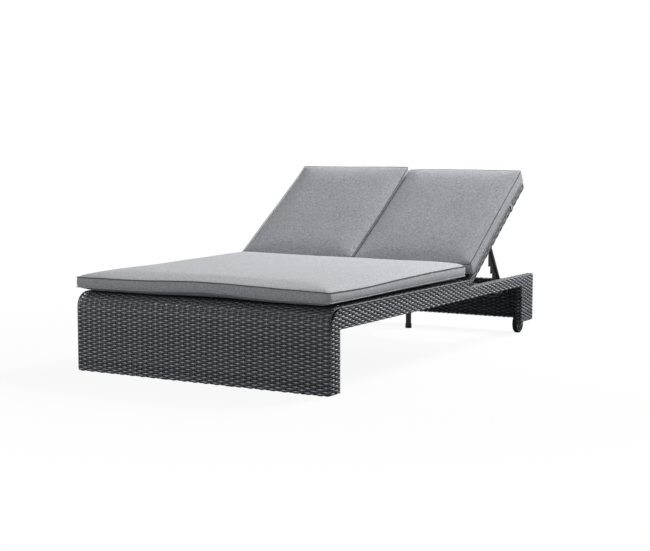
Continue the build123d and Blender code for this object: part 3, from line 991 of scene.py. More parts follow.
    def side(self, side: Side) -> None:
        """Weave one side board: rows level all along it, stakes round it.

        Args:
            side: Right or left.
        """
        out = X_AXIS * side.value
        legs = Weave(side.word + "_leg_weave")
        rail = Weave(side.word + "_rail_weave")
        base = self.rail_bottom + self.first_row
        for k in range(-self.rows_below, self.rows_above):
            z = base + k * PATTERN.row
            start, end_inner = self.front_reach(z)
            back = self.back_reach(z)
            route = Route([(start, -self.tuck), (start, 0), (back, 0), (back, -self.board),
                           (end_inner, -self.board)], self.edge)
            turn = self.tuck - self.corner_cut
            outer, skipped = self._crossings(start, back, turn - start)
            middle = turn + (back - start) - self.corner_cut + self.board / 2
            inner = [2 * middle - d for d in outer if 2 * middle - d < route.length - self.clear_end]
            upper = z >= self.rail_bottom
            home = rail if upper else legs
            # Rail rows close under the seat cushion and the legs below the rail are painted in shade.
            fade = self.paled(z, self.rail_shade) if upper else self.leg_pale
            home.row(Plane(Z_AXIS * z + out * self.half, Y_AXIS, out), route,
                     np.array(outer + [middle] + inner), PATTERN.weft, k + skipped, fade=fade)
        self._rear_leg(legs, out, base)
        self._side_edges(rail, legs, out)
        self._side_stakes(rail, legs, out)
        rail.finish(self.strand, "root", "wicker", side.word + "_side_skin")
        legs.finish(self.strand, "root", "wicker", side.word + "_side_skin")

    def _crossings(self, low: float, high: float, shift: float) -> tuple[list, int]:
        """Distances of the stakes along a side row between two ends, and the count before it."""
        near = low + self.clear_start
        found = [y + shift for y in self.stations if near < y < high - self.clear_end]
        return found, sum(1 for y in self.stations if y <= near)

    def _rear_leg(self, weave: Weave, out: np.ndarray, base: float) -> None:
        """Weave level loops round the rear leg."""
        low_y, high_y = self.head - self.rear_leg, self.head
        route = Route([(low_y, 0), (high_y, 0), (high_y, -self.board), (low_y, -self.board)], self.edge,
                      closed=True)
        outer, skipped = self._crossings(low_y, high_y, -low_y - self.edge)
        narrow = self.corner_arc + self.board / 2 - self.edge
        middle = self.rear_leg - 2 * self.edge + narrow
        inner = [2 * middle - d for d in outer]
        places = np.array(outer + [middle] + inner + [route.length - narrow])
        for k in range(-self.rear_leg_rows, 0):
            plane = Plane(Z_AXIS * (base + k * PATTERN.row) + out * self.half, Y_AXIS, out)
            # The rear leg's rows are painted in shade.
            weave.row(plane, route, places + self.corner_arc, PATTERN.weft, k + skipped,
                      fade=self.rear_leg_pale)

    def _side_edges(self, rail: Weave, legs: Weave, out: np.ndarray) -> None:
        """Weave the narrow level faces: rail tops, rail underside and leg ends."""
        leg_back = self.foot + self.front_leg
        rear_front = self.head - self.rear_leg
        rail_end = self.rail_top - 1.5 * self.rail_corner
        faces = [
            (rail, [(self.bend_y + self.roll_run, self.seat_top),
                    (self.step - self.clear_end, self.seat_top)], True),
            (rail, [(self.step, self.rail_top), (self.head, self.rail_top),
                    (self.head, rail_end)], True),
            (rail, [(leg_back, self.rail_bottom), (rear_front, self.rail_bottom)], False),
            (legs, [(rear_front + self.inset, self.leg_bottom),
                    (self.head - self.inset, self.leg_bottom)], False),
            (legs, [(self.foot + self.board, self.floor),
                    (leg_back - self.clear_end, self.floor)], False),
        ]
        for home, corners, up in faces:
            route = Route(corners, self.rail_corner, left=up)
            stations = spread(0, route.length, self.side_stake)
            for row, share in enumerate(self.lanes):
                plane = Plane(out * (self.half - self.board * share), Y_AXIS, Z_AXIS)
                # These rows face up under the cushion or down to the floor, and are painted in full
                # shade.
                home.row(plane, route, stations, PATTERN.rail_weft, row, PATTERN.edge_depth,
                         PATTERN.edge_pale)

    def _side_stakes(self, rail: Weave, legs: Weave, out: np.ndarray) -> None:
        """Run the stakes round the rails and legs."""
        leg_back = self.foot + self.front_leg
        rear_front = self.head - self.rear_leg
        for y in self.stations:
            if y > self.head - self.clear_end:
                continue
            low, home = self.rail_bottom, rail
            if y < leg_back:
                low, home = self.floor, legs
            elif y > rear_front:
                low, home = self.leg_bottom, legs
            top = (self.seat_top if y < self.step - self.clear_end else self.rail_top) - self.sunk
            if y < self.bend_y + self.roll_run:
                reach = self.bend_y - y
                top = self.bend_z + math.sqrt(max(self.roll ** 2 - reach ** 2, 0)) - self.inset
                route = Route([(low, 0), (top, 0)], 0)
            else:
                route = Route([(low, 0), (top, 0), (top, -self.board), (low, -self.board)], self.edge,
                              closed=True)
            home.stake(Plane(Y_AXIS * y + out * self.half, Z_AXIS, out), route,
                       np.arange(0, route.length, self.stake_knots) + 1 * MM)
        ends = [(legs, leg_back, self.floor, self.rail_bottom, 1),
                (rail, self.step, self.rail_top, self.seat_top, 1),
                (rail, self.head, self.leg_bottom, self.rail_top - self.rail_corner, 1),
                (legs, rear_front, self.leg_bottom, self.rail_bottom, -1)]
        for home, y, low, top, way in ends:
            plane = Plane(out * (self.half - self.board / 2) + Y_AXIS * y, Z_AXIS, Y_AXIS * way)
            route = Route([(low, 0), (top, 0)], 0)
            home.stake(plane, route, (route.length / 2,))

    def rear_panel(self) -> None:
        """Weave the low panel between the rear legs."""
        low, high = self.rear
        weave = Weave("rear_panel_weave")
        size = (high.y - low.y, high.z - low.z)
        origin = np.array((low.x, (low.y + high.y) / 2, (low.z + high.z) / 2))
        # The rear panel's rows are painted in shade.
        woven_sleeve(weave, origin, X_AXIS, high.x - low.x, Y_AXIS, Z_AXIS, size, self.edge,
                     PATTERN.rough_weft, PATTERN.depth, PATTERN.panel_pale, 2.0)
        weave.finish(self.strand, "root", "wicker", "rear_panel_skin")

    def seat_deck(self) -> None:
        """Weave the deck under the seat cushion in two halves."""
        low, high = self.deck
        half = (high.y - low.y) / 2
        coarse = Weft(steps=3)
        for part, start in (("front", low.y), ("rear", low.y + half)):
            weave = Weave("seat_deck_" + part + "_weave")
            origin = np.array((low.x, start, high.z - 2 * MM))
            woven_panel(weave, origin, X_AXIS, Y_AXIS, Z_AXIS, (high.x - low.x, half), coarse)
            weave.finish(self.strand, "root", "wicker", "seat_deck")

    def build(self) -> None:
        """Make every woven piece of the base."""
        self.front()
        for side in Side:
            self.side(side)
        self.rear_panel()
        self.seat_deck()


# Backrests


@dataclass
class Backrest:
    """Woven rails and mat of one backrest, and its place in the row frame."""

    side: Side
    strand: bpy.types.Material
    angle: float = math.radians(34)
    length: float = 760 * MM
    board: float = 30 * MM
    half_gap: float = 5 * MM
    half_width: float = 600 * MM
    lower_rail: float = 25 * MM
    mat_depth: float = 2.2 * MM
    edge: float = 5 * MM
    end_inset: float = 2 * MM

    def __post_init__(self) -> None:
        """Find the hinge and the backrest's own axes."""
        name = self.side.word + "_back_recline"
        joint = next(j for j in frame["joints"] if j["name"] == name)
        hinge = joint["pos_m"]
        self.origin = np.array((0.0, hinge[1], hinge[2]))
        self.x = X_AXIS * self.side.value
        self.y = Y_AXIS * math.cos(self.angle) + Z_AXIS * math.sin(self.angle)
        self.z = Z_AXIS * math.cos(self.angle) - Y_AXIS * math.sin(self.angle)
        self.body = self.side.word + "_back"

    def at(self, x: float, y: float, z: float) -> np.ndarray:
        """Place a point of the backrest in the row frame.

        Args:
            x: Distance from the middle of the lounger, outwards.
            y: Distance from the hinge along the back.
            z: Height above the middle of its rails.

        Returns:
            The point in the row frame.
        """
        return self.origin + self.x * x + self.y * y + self.z * z

    def _rail(self, weave: Weave, start: np.ndarray, along: np.ndarray, length: float,
              across: np.ndarray) -> None:
        """Weave one square rail from its start."""
        # The rails are painted in shade, and their rows under the cushion in full shade.
        woven_sleeve(weave, start, along, length, across, self.z, (self.board, self.board), self.edge,
                     PATTERN.rail_weft, PATTERN.edge_depth, PATTERN.rail_pale, PATTERN.rail_covered)

    def long_rail(self, name: str, x: float, node: str) -> None:
        """Weave one long rail, from behind its hinge to the top of the back.

        Args:
            name: End of the piece's name.
            x: Middle of the rail.
            node: End of the name of the CAD node that it stands for.
        """
        weave = Weave(self.side.word + name)
        start = -self.board / 2
        self._rail(weave, self.at(x, start, 0), self.y, self.length - start, self.x)
        inner = -self.board / 2 + self.end_inset
        side = self.board - 2 * self.end_inset
        for end, way in ((start, -1), (self.length, 1)):
            woven_panel(weave, self.at(x + inner, end, inner), self.x, self.z, self.y * way,
                        (side, side), PATTERN.rail_weft)
        weave.finish(self.strand, self.body, "wicker", self.side.word + node)

    def cross_rail(self, name: str, y: float, node: str) -> None:
        """Weave one rail between the long rails.

        Args:
            name: End of the piece's name.
            y: Middle of the rail.
            node: End of the name of the CAD node that it stands for.
        """
        weave = Weave(self.side.word + name)
        low = self.half_gap + self.board
        high = self.half_width - self.board
        self._rail(weave, self.at(low, y, 0), self.x, high - low, self.y)
        weave.finish(self.strand, self.body, "wicker", self.side.word + node)

    def mat(self) -> None:
        """Weave the mat that the back cushion lies on."""
        weave = Weave(self.side.word + "_back_mat_weave")
        low_x, high_x = self.half_gap + self.board, self.half_width - self.board
        low_y, high_y = self.lower_rail + self.board, self.length - self.board
        corner = self.at(low_x, low_y, self.board / 2 - self.mat_depth)
        woven_panel(weave, corner, self.x, self.y, self.z, (high_x - low_x, high_y - low_y),
                    PATTERN.rough_weft)
        weave.finish(self.strand, self.body, "wicker", self.side.word + "_back_mat")

    def build(self) -> None:
        """Make the woven pieces of this backrest."""
        half = self.board / 2
        self.long_rail("_outer_rail_weave", self.half_width - half, "_back_outer_rail")
        self.long_rail("_inner_rail_weave", self.half_gap + half, "_back_inner_rail")
        self.cross_rail("_lower_rail_weave", self.lower_rail + half, "_back_lower_rail")
        self.cross_rail("_upper_rail_weave", self.length - half, "_back_upper_rail")
        self.mat()


# Cushions


def grid_order(place: Vector) -> float:
    """Rank a place on a unit grid by height, then along, then across.

    A slab's parts come out of its extrusion in no fixed order, so they are sorted by this.

    Args:
        place: Point of the slab.

    Returns:
        A number that grows in that order.
    """
    return round(place.z, 2) * 1e6 + round(place.y, 4) * 1e3 + round(place.x, 4)


@dataclass(frozen=True)
class Filling:
    """Air pressure and cover of the short cloth simulation that fills a cushion."""

    pressure: float = 8.0
    swell: float = 8 * MM
    frames: int = 20
    quality: int = 5
    mass: float = 0.3
    stiffness: float = 15.0
    bending: float = 0.5
    drawn_first: float = 0.85


@dataclass
class Cushion:
    """A boxed cushion: top and bottom panels joined by a band, with piping along both seams.

    Its box is given in its own axes, and its mesh is simulated flat and then put in place.
    """

    name: str
    cloth: bpy.types.Material
    # Darker cloth of the upper piping: a painted shadow along the upper seam.
    trim: bpy.types.Material
    body: str
    slot: str
    node: str
    origin: np.ndarray
    axes: tuple[np.ndarray, np.ndarray, np.ndarray]
    low: tuple[float, float]
    high: tuple[float, float]
    base: float
    under: float = 21.5 * MM
    band: float = 41 * MM
    crown: float = 26 * MM
    drawn: float = 5 * MM
    drawn_inner: float = 5 * MM
    corner: float = 11 * MM
    belly: float = 95 * MM
    cell: float = 14 * MM
    bulge: float = 2 * MM
    welt: float = 1.7 * MM
    welt_depth: float = -0.4 * MM
    rise: tuple[float, float, float] = (0.75, 27 * MM, 120 * MM)
    wave: float = 1.2 * MM
    bow: float = 0.0
    taper: float = 0.0
    flare: float = 0.0
    seam_share: float = 0.7
    crease: float = math.radians(50)
    near: float = 0.01
    filling: Filling = Filling()

    def outline(self, s: np.ndarray, t: np.ndarray) -> tuple[np.ndarray, np.ndarray]:
        """Plan of the cushion: a rectangle with rounded corners and drawn-in sides.

        Args:
            s: Place across, from -1 to 1.
            t: Place along, from -1 to 1.

        Returns:
            X and Y in the cushion's own axes.
        """
        half_x, half_y = (self.high[0] - self.low[0]) / 2, (self.high[1] - self.low[1]) / 2
        x, y = s * half_x, t * half_y
        over_x = np.clip((np.abs(x) - (half_x - self.corner)) / self.corner, 0, 1)
        over_y = np.clip((np.abs(y) - (half_y - self.corner)) / self.corner, 0, 1)
        both = (over_x > 0) & (over_y > 0)
        round_x = over_x * np.sqrt(1 - over_y ** 2 / 2)
        round_y = over_y * np.sqrt(1 - over_x ** 2 / 2)
        x = np.where(both, np.sign(x) * (half_x - self.corner + round_x * self.corner), x)
        y = np.where(both, np.sign(y) * (half_y - self.corner + round_y * self.corner), y)
        drawn = np.where(s < 0, self.drawn_inner, self.drawn)
        x = x * (1 - drawn / half_x * (1 - t ** 2) * np.abs(s))
        y = y * (1 - self.drawn / half_y * (1 - s ** 2) * np.abs(t))
        head = np.clip(t, 0, 1)
        y = y + self.bow * (1 - s ** 2) * (1 - 0.6 * s) * head
        x = x + self.taper * head ** 1.5 * np.clip(-s, 0, 1)
        x = x + self.flare * head ** 6 * np.clip(s, 0, 1)
        return x + (self.high[0] + self.low[0]) / 2, y + (self.high[1] + self.low[1]) / 2

    def ripple(self, x: np.ndarray, y: np.ndarray, z: np.ndarray) -> np.ndarray:
        """Slow rise and fall of the cloth, for the seams and panels alike.

        Args:
            x: Place across.
            y: Place along.
            z: Place in height.

        Returns:
            Lift of the cloth.
        """
        start = SEED + len(self.name)
        total = np.zeros_like(x)
        for i, (way, wave) in enumerate(((0.3, 0.46), (1.4, 0.31), (2.3, 0.23), (2.9, 0.15))):
            along = x * math.cos(way) + y * math.sin(way)
            total += np.sin(2 * math.pi * along / wave + start * (i + 1) + z * 6)
        return total * self.wave / 4

    def settle(self, s: np.ndarray, t: np.ndarray, h: np.ndarray) -> np.ndarray:
        """Lift of the seams, band and upper panel by use; a new cushion has none.

        Args:
            s: Place across, from -1 to 1.
            t: Place along, from -1 to 1.
            h: Place in height, from 0 to 1.

        Returns:
            The lift.
        """
        return np.zeros_like(s)

    def lip(self, s: np.ndarray, t: np.ndarray) -> np.ndarray:
        """Lift of the lower panel by use; a new cushion has none.

        Args:
            s: Place across, from -1 to 1.
            t: Place along, from -1 to 1.

        Returns:
            The lift.
        """
        return np.zeros_like(s)

    def slab(self) -> bpy.types.Mesh:
        """The cushion before it is filled.

        Returns:
            A closed mesh of even squares, with a group for its seams.
        """
        width, depth = self.high[0] - self.low[0], self.high[1] - self.low[1]
        cells_x, cells_y = round(width / self.cell), round(depth / self.cell)
        bm = bmesh.new()
        bmesh.ops.create_grid(bm, x_segments=cells_x, y_segments=cells_y, size=1.0)
        whole = bmesh.ops.extrude_face_region(bm, geom=bm.faces[:], use_keep_orig=True)
        lifted = [v for v in whole["geom"] if isinstance(v, bmesh.types.BMVert)]
        bmesh.ops.translate(bm, verts=lifted, vec=(0, 0, 1))
        walls = [e for e in bm.edges if abs(e.verts[0].co.z - e.verts[1].co.z) > 0.5]
        bmesh.ops.subdivide_edges(bm, edges=walls, cuts=2, use_grid_fill=True)
        bmesh.ops.recalc_face_normals(bm, faces=bm.faces)
        bm.verts.sort(key=lambda vert: grid_order(vert.co))
        bm.edges.sort(key=lambda edge: grid_order((edge.verts[0].co + edge.verts[1].co) / 2))
        bm.faces.sort(key=lambda face: grid_order(face.calc_center_median()))
        mesh = bpy.data.meshes.new(self.name)
        bm.to_mesh(mesh)
        bm.free()
        return mesh

    def fill(self, place: np.ndarray) -> np.ndarray:
        """Shape the slab's points: crown, belly and band.

        Args:
            place: Points of the slab, from -1 to 1 in plan and 0 to 1 in height.

        Returns:
            Points in the cushion's own axes.
        """
        s, t, h = place[:, 0], place[:, 1], place[:, 2]
        x, y = self.outline(s, t)
        half_x, half_y = (self.high[0] - self.low[0]) / 2, (self.high[1] - self.low[1]) / 2
        inside = np.minimum((1 - np.abs(s)) * half_x, (1 - np.abs(t)) * half_y)
        inside = np.maximum(inside, 0)
        share = self.filling.drawn_first
        part, quick_rise, slow_rise = self.rise
        dome = part * (1 - np.exp(-inside / quick_rise)) + (1 - part) * (1 - np.exp(-inside / slow_rise))
        sag = np.clip(inside / self.belly, 0, 1)
        sag = sag * (2 - sag)
        seam_low, seam_high = self.base + self.under, self.base + self.under + self.band
        top, bottom = h > 1 - self.near, h < self.near
        z = np.where(top, seam_high + self.crown * share * dome, seam_low + self.band * h)
        z = np.where(bottom, seam_low - self.under * sag, z)
        middle_x, middle_y = (self.high[0] + self.low[0]) / 2, (self.high[1] + self.low[1]) / 2
        bulge = np.where(top | bottom, 0.0, self.bulge)
        rim = inside < 1 * MM
        x = np.where(rim, x + bulge * (x - middle_x) / half_x, x)
        y = np.where(rim, y + bulge * (y - middle_y) / half_y, y)
        return np.stack((x, y, z), 1)

    def simulate(self, mesh: bpy.types.Mesh, pinned: list[int]) -> None:
        """Swell the cushion by air pressure with its seams held, and cap how far it moves.

        Args:
            mesh: Cushion in its own axes.
            pinned: Numbers of the points on the seams.
        """
        scene = bpy.context.scene
        holder = bpy.data.objects.new(self.name + "_fill", mesh)
        scene.collection.objects.link(holder)
        group = holder.vertex_groups.new(name="seam")
        group.add(pinned, 1.0, "REPLACE")
        cloth = holder.modifiers.new("fill", "CLOTH")
        filling, settings = self.filling, cloth.settings
        settings.quality = filling.quality
        settings.mass = filling.mass
        settings.tension_stiffness = settings.compression_stiffness = filling.stiffness
        settings.bending_stiffness = filling.bending
        settings.use_pressure = True
        settings.uniform_pressure_force = filling.pressure
        settings.vertex_group_mass = "seam"
        settings.effector_weights.gravity = 0
        cloth.collision_settings.use_self_collision = False
        before = np.empty(len(mesh.vertices) * 3)
        mesh.vertices.foreach_get("co", before)
        for step in range(1, filling.frames + 1):
            scene.frame_set(step)
        posed = holder.evaluated_get(bpy.context.evaluated_depsgraph_get())
        after = np.empty_like(before)
        posed.data.vertices.foreach_get("co", after)
        move = (after - before).reshape(-1, 3)
        far = np.linalg.norm(move, axis=1)
        capped = filling.swell * np.tanh(far / filling.swell)
        move *= (capped / np.maximum(far, 1e-9))[:, None]
        log.info("%s: filled, moved %.1f mm on average", self.name, float(far.mean()) / MM)
        bpy.data.objects.remove(holder)
        scene.frame_set(1)
        mesh.vertices.foreach_set("co", (before.reshape(-1, 3) + move).ravel())

    def build(self) -> None:
        """Make the cushion and its piping."""
        mesh = self.slab()
        place = np.array([v.co[:] for v in mesh.vertices])
        local = self.fill(place)
        mesh.vertices.foreach_set("co", local.ravel())
        s, t, h = place.T
        rim = self.rim_of(place)
        bottom = h < self.near
        seams = np.nonzero(rim & (bottom | (h > 1 - self.near)))[0]
        floor = np.nonzero(bottom)[0]
        self.simulate(mesh, sorted(set(seams.tolist()) | set(floor.tolist())))
        local = np.array([v.co[:] for v in mesh.vertices])
        lift = self.ripple(local[:, 0], local[:, 1], local[:, 2]) + self.settle(s, t, h)
        lip = self.lip(s, t)
        seam = np.where(rim, lip + (lift - lip) * self.seam_share, lip)
        local[:, 2] += np.where(bottom, seam, lift)
        mesh.vertices.foreach_set("co", self.to_space(local).ravel())
        mesh.update()
        mesh.shade_smooth()
        mesh.set_sharp_from_angle(angle=self.crease)
        piece = place_piece(self.name, mesh, self.cloth, self.body, self.slot, self.node)
        soft = piece.modifiers.new("soft", "SUBSURF")
        soft.levels = soft.render_levels = 1
        self._piping(place, local)

    @staticmethod
    def rim_of(place: np.ndarray) -> np.ndarray:
        """Tell which points lie on the cushion's outline.

        Args:
            place: Points of the slab, from -1 to 1 in plan.

        Returns:
            True for each point on the outline.
        """
        return (np.abs(place[:, 0]) > 0.9999) | (np.abs(place[:, 1]) > 0.9999)

    def to_space(self, local: np.ndarray) -> np.ndarray:
        """Place points of the cushion in the row frame.

        Args:
            local: Points in the cushion's own axes.

        Returns:
            The points in the row frame.
        """
        u, v, w = self.axes
        return self.origin + local[:, :1] * u + local[:, 1:2] * v + local[:, 2:] * w

    def _piping(self, place: np.ndarray, local: np.ndarray) -> None:
        """Sew a round welt along the upper and the lower seam, the lower one in the cover's cloth and
        the upper one in a darker cloth, a painted shadow along the upper seam.
        """
        middle = np.array(((self.high[0] + self.low[0]) / 2, (self.high[1] + self.low[1]) / 2))
        rim = self.rim_of(place)
        for level, word, cloth in ((0.0, "lower", self.cloth), (1.0, "upper", self.trim)):
            weave = Weave(f"{self.name}_{word}_piping")
            ring = np.nonzero(rim & (np.abs(place[:, 2] - level) < self.near))[0]
            turn = np.arctan2(place[ring, 1], place[ring, 0])
            line = local[ring[np.argsort(turn)]]
            out = np.zeros_like(line)
            out[:, :2] = line[:, :2] - middle
            out /= np.linalg.norm(out, axis=1)[:, None]
            line = np.vstack((line, line[:1]))
            out = np.vstack((out, out[:1]))
            u, v, w = self.axes
            ways = out[:, :1] * u + out[:, 1:2] * v + out[:, 2:] * w
            thread = Thread(self.to_space(line), ways, np.zeros(len(line)), True)
            weave.strand(thread, Cord(self.welt).section(), 0, 0, self.welt_depth)
            weave.finish(cloth, self.body, self.slot)


def bell(place: np.ndarray, middle: float, width: float) -> np.ndarray:
    """Rise and fall around one place.

    Args:
        place: Places to read it at.
        middle: Place of its top.
        width: Distance at which it has fallen to about a third.

    Returns:
        Values from 0 to 1.
    """
    return np.exp(-((place - middle) / width) ** 2)


@dataclass
class UsedSeatCushion(Cushion):
    """The long seat cushion after use: high in mid front and at its left, low at its right shoulder.

    Places and widths are shares of half its size, read from the photograph's outline.
    """

    front_rise: float = 4.8 * MM
    shoulder_drop: float = 6 * MM
    rear_rise: float = 3.5 * MM
    left_rise: float = 14 * MM
    left_lift: float = 2 * MM
    left_bump: float = 3.2 * MM
    left_tip: float = 3.5 * MM
    lip_rise: float = 10 * MM

    def settle(self, s: np.ndarray, t: np.ndarray, h: np.ndarray) -> np.ndarray:
        """Lift of the seams, band and upper panel by use.

        Args:
            s: Place across, from -1 to 1.
            t: Place along, from -1 to 1.
            h: Place in height, from 0 to 1.

        Returns:
            The lift.
        """
        front = self.front_rise * np.cos(2.53 * (s - 0.2)) * np.exp(-(t + 1) / 0.5)
        right = self.rear_rise * np.clip(t / 0.4, 0, 1) - self.shoulder_drop * bell(t, -0.55, 0.38)
        left = self.left_rise * np.clip((t + 0.3) / 1.1, 0, 0.87)
        left = left + self.left_lift * np.clip((t + 0.9) / 0.3, 0, 1)
        left = left + self.left_bump * bell(t, -0.7, 0.18) + self.left_tip * np.exp(-(t + 1) / 0.35)
        top = front + right * np.exp(-(1 - s) / 0.5) + left * np.exp(-(1 + s) / 0.6)
        return top * (0.4 + 0.6 * h) + self.lip(s, t) * (1 - 0.6 * h)

    def lip(self, s: np.ndarray, t: np.ndarray) -> np.ndarray:
        """Lift of the front edge off the roll, most of it near the middle.

        Args:
            s: Place across, from -1 to 1.
            t: Place along, from -1 to 1.

        Returns:
            Lift of the lower panel.
        """
        return self.lip_rise * bell(s, 0.07, 0.32) * np.exp(-(t + 1) / 0.2)


@dataclass
class Strap:
    """Webbing loop that holds a back cushion to the outer rail."""

    back: Backrest
    cloth: bpy.types.Material
    place: float = 571 * MM
    width: float = 22 * MM
    thick: float = 0.9 * MM
    rise: float = 13.5 * MM
    gap: float = 0.8 * MM
    lean: float = 2 * MM
    fold: float = 4 * MM
    rib: float = 0.15 * MM
    steps: int = 40
    ribs: int = 8

    def build(self) -> None:
        """Lay the webbing from the cushion's seam round the rail."""
        half = self.back.board / 2
        out_x = self.back.half_width + self.gap + self.thick / 2
        low = -half - self.gap - self.thick / 2
        route = Route([(out_x - self.lean, half + self.rise), (out_x, half), (out_x, low),
                       (out_x - self.back.board, low)], self.fold)
        bm = bmesh.new()
        bmesh.ops.create_grid(bm, x_segments=self.steps, y_segments=self.ribs, size=1.0)
        mesh = bpy.data.meshes.new(self.back.side.word + "_strap_webbing")
        points, ways = route.at(np.linspace(0, route.length, self.steps + 1))
        spots = []
        for share in np.linspace(-0.5, 0.5, self.ribs + 1):
            lift = self.rib * math.cos(share * math.pi * 2 * self.ribs)
            for x, z in points + ways * lift:
                spots.append(self.back.at(x, self.place + share * self.width, z))
        for vert, spot in zip(bm.verts, spots):
            vert.co = spot
        bmesh.ops.recalc_face_normals(bm, faces=bm.faces)
        bm.to_mesh(mesh)
        bm.free()
        mesh.shade_smooth()
        word = self.back.side.word
        piece = place_piece(word + "_strap_webbing", mesh, self.cloth, self.back.body, "strap_fabric",
                            word + "_back_strap")
        wall = piece.modifiers.new("thickness", "SOLIDIFY")
        wall.thickness, wall.offset = self.thick, 0


# Carried-over metal and plastic pieces


@dataclass
class Hardware:
    """Finishes of the pieces that keep their own CAD shape."""

    tube: bpy.types.Material
    ratchet: bpy.types.Material
    zinc: bpy.types.Material
    nylon: bpy.types.Material
    wheel: bpy.types.Material
    rubber: bpy.types.Material

    def finish_of(self, node: str) -> bpy.types.Material:
        """Choose the finish of one CAD node.

        Args:
            node: Name of the node.

        Returns:
            Its material.
        """
        rules = (("ratchet_plates", self.ratchet), ("pins", self.zinc), ("bolts", self.zinc),
                 ("screws", self.zinc), ("axle", self.zinc), ("tyre", self.rubber),
                 ("wheel_body", self.wheel), ("bush", self.nylon), ("glides", self.nylon),
                 ("leg_foot", self.nylon))
        for word, material in rules:
            if word in node:
                return material
        return self.tube

    def build(self) -> None:
        """Give every CAD node its finish."""
        for name, piece in frame["nodes"].items():
            piece.data.materials.clear()
            piece.data.materials.append(self.finish_of(name))
            log.info("%s: %s", name, piece.data.materials[0].name)


# Studio


@dataclass(frozen=True)
class Lamp:
    """One soft square lamp; a card shows only in reflections, like a white board in a studio."""

    name: str
    place: tuple[float, float, float]
    power: float
    size: float
    card: bool = False

    def hang(self) -> None:
        """Hang the lamp and turn it to the middle of the object."""
        data = bpy.data.lights.new(self.name, "AREA")
        data.energy, data.size = self.power, self.size
        lamp = bpy.data.objects.new(self.name, data)
        lamp.location = self.place
        aim = Vector((0, 0, 0.3)) - Vector(self.place)
        lamp.rotation_euler = aim.to_track_quat("-Z", "Y").to_euler()
        lamp.visible_camera = False
        lamp.visible_diffuse = not self.card
        bpy.context.scene.collection.objects.link(lamp)


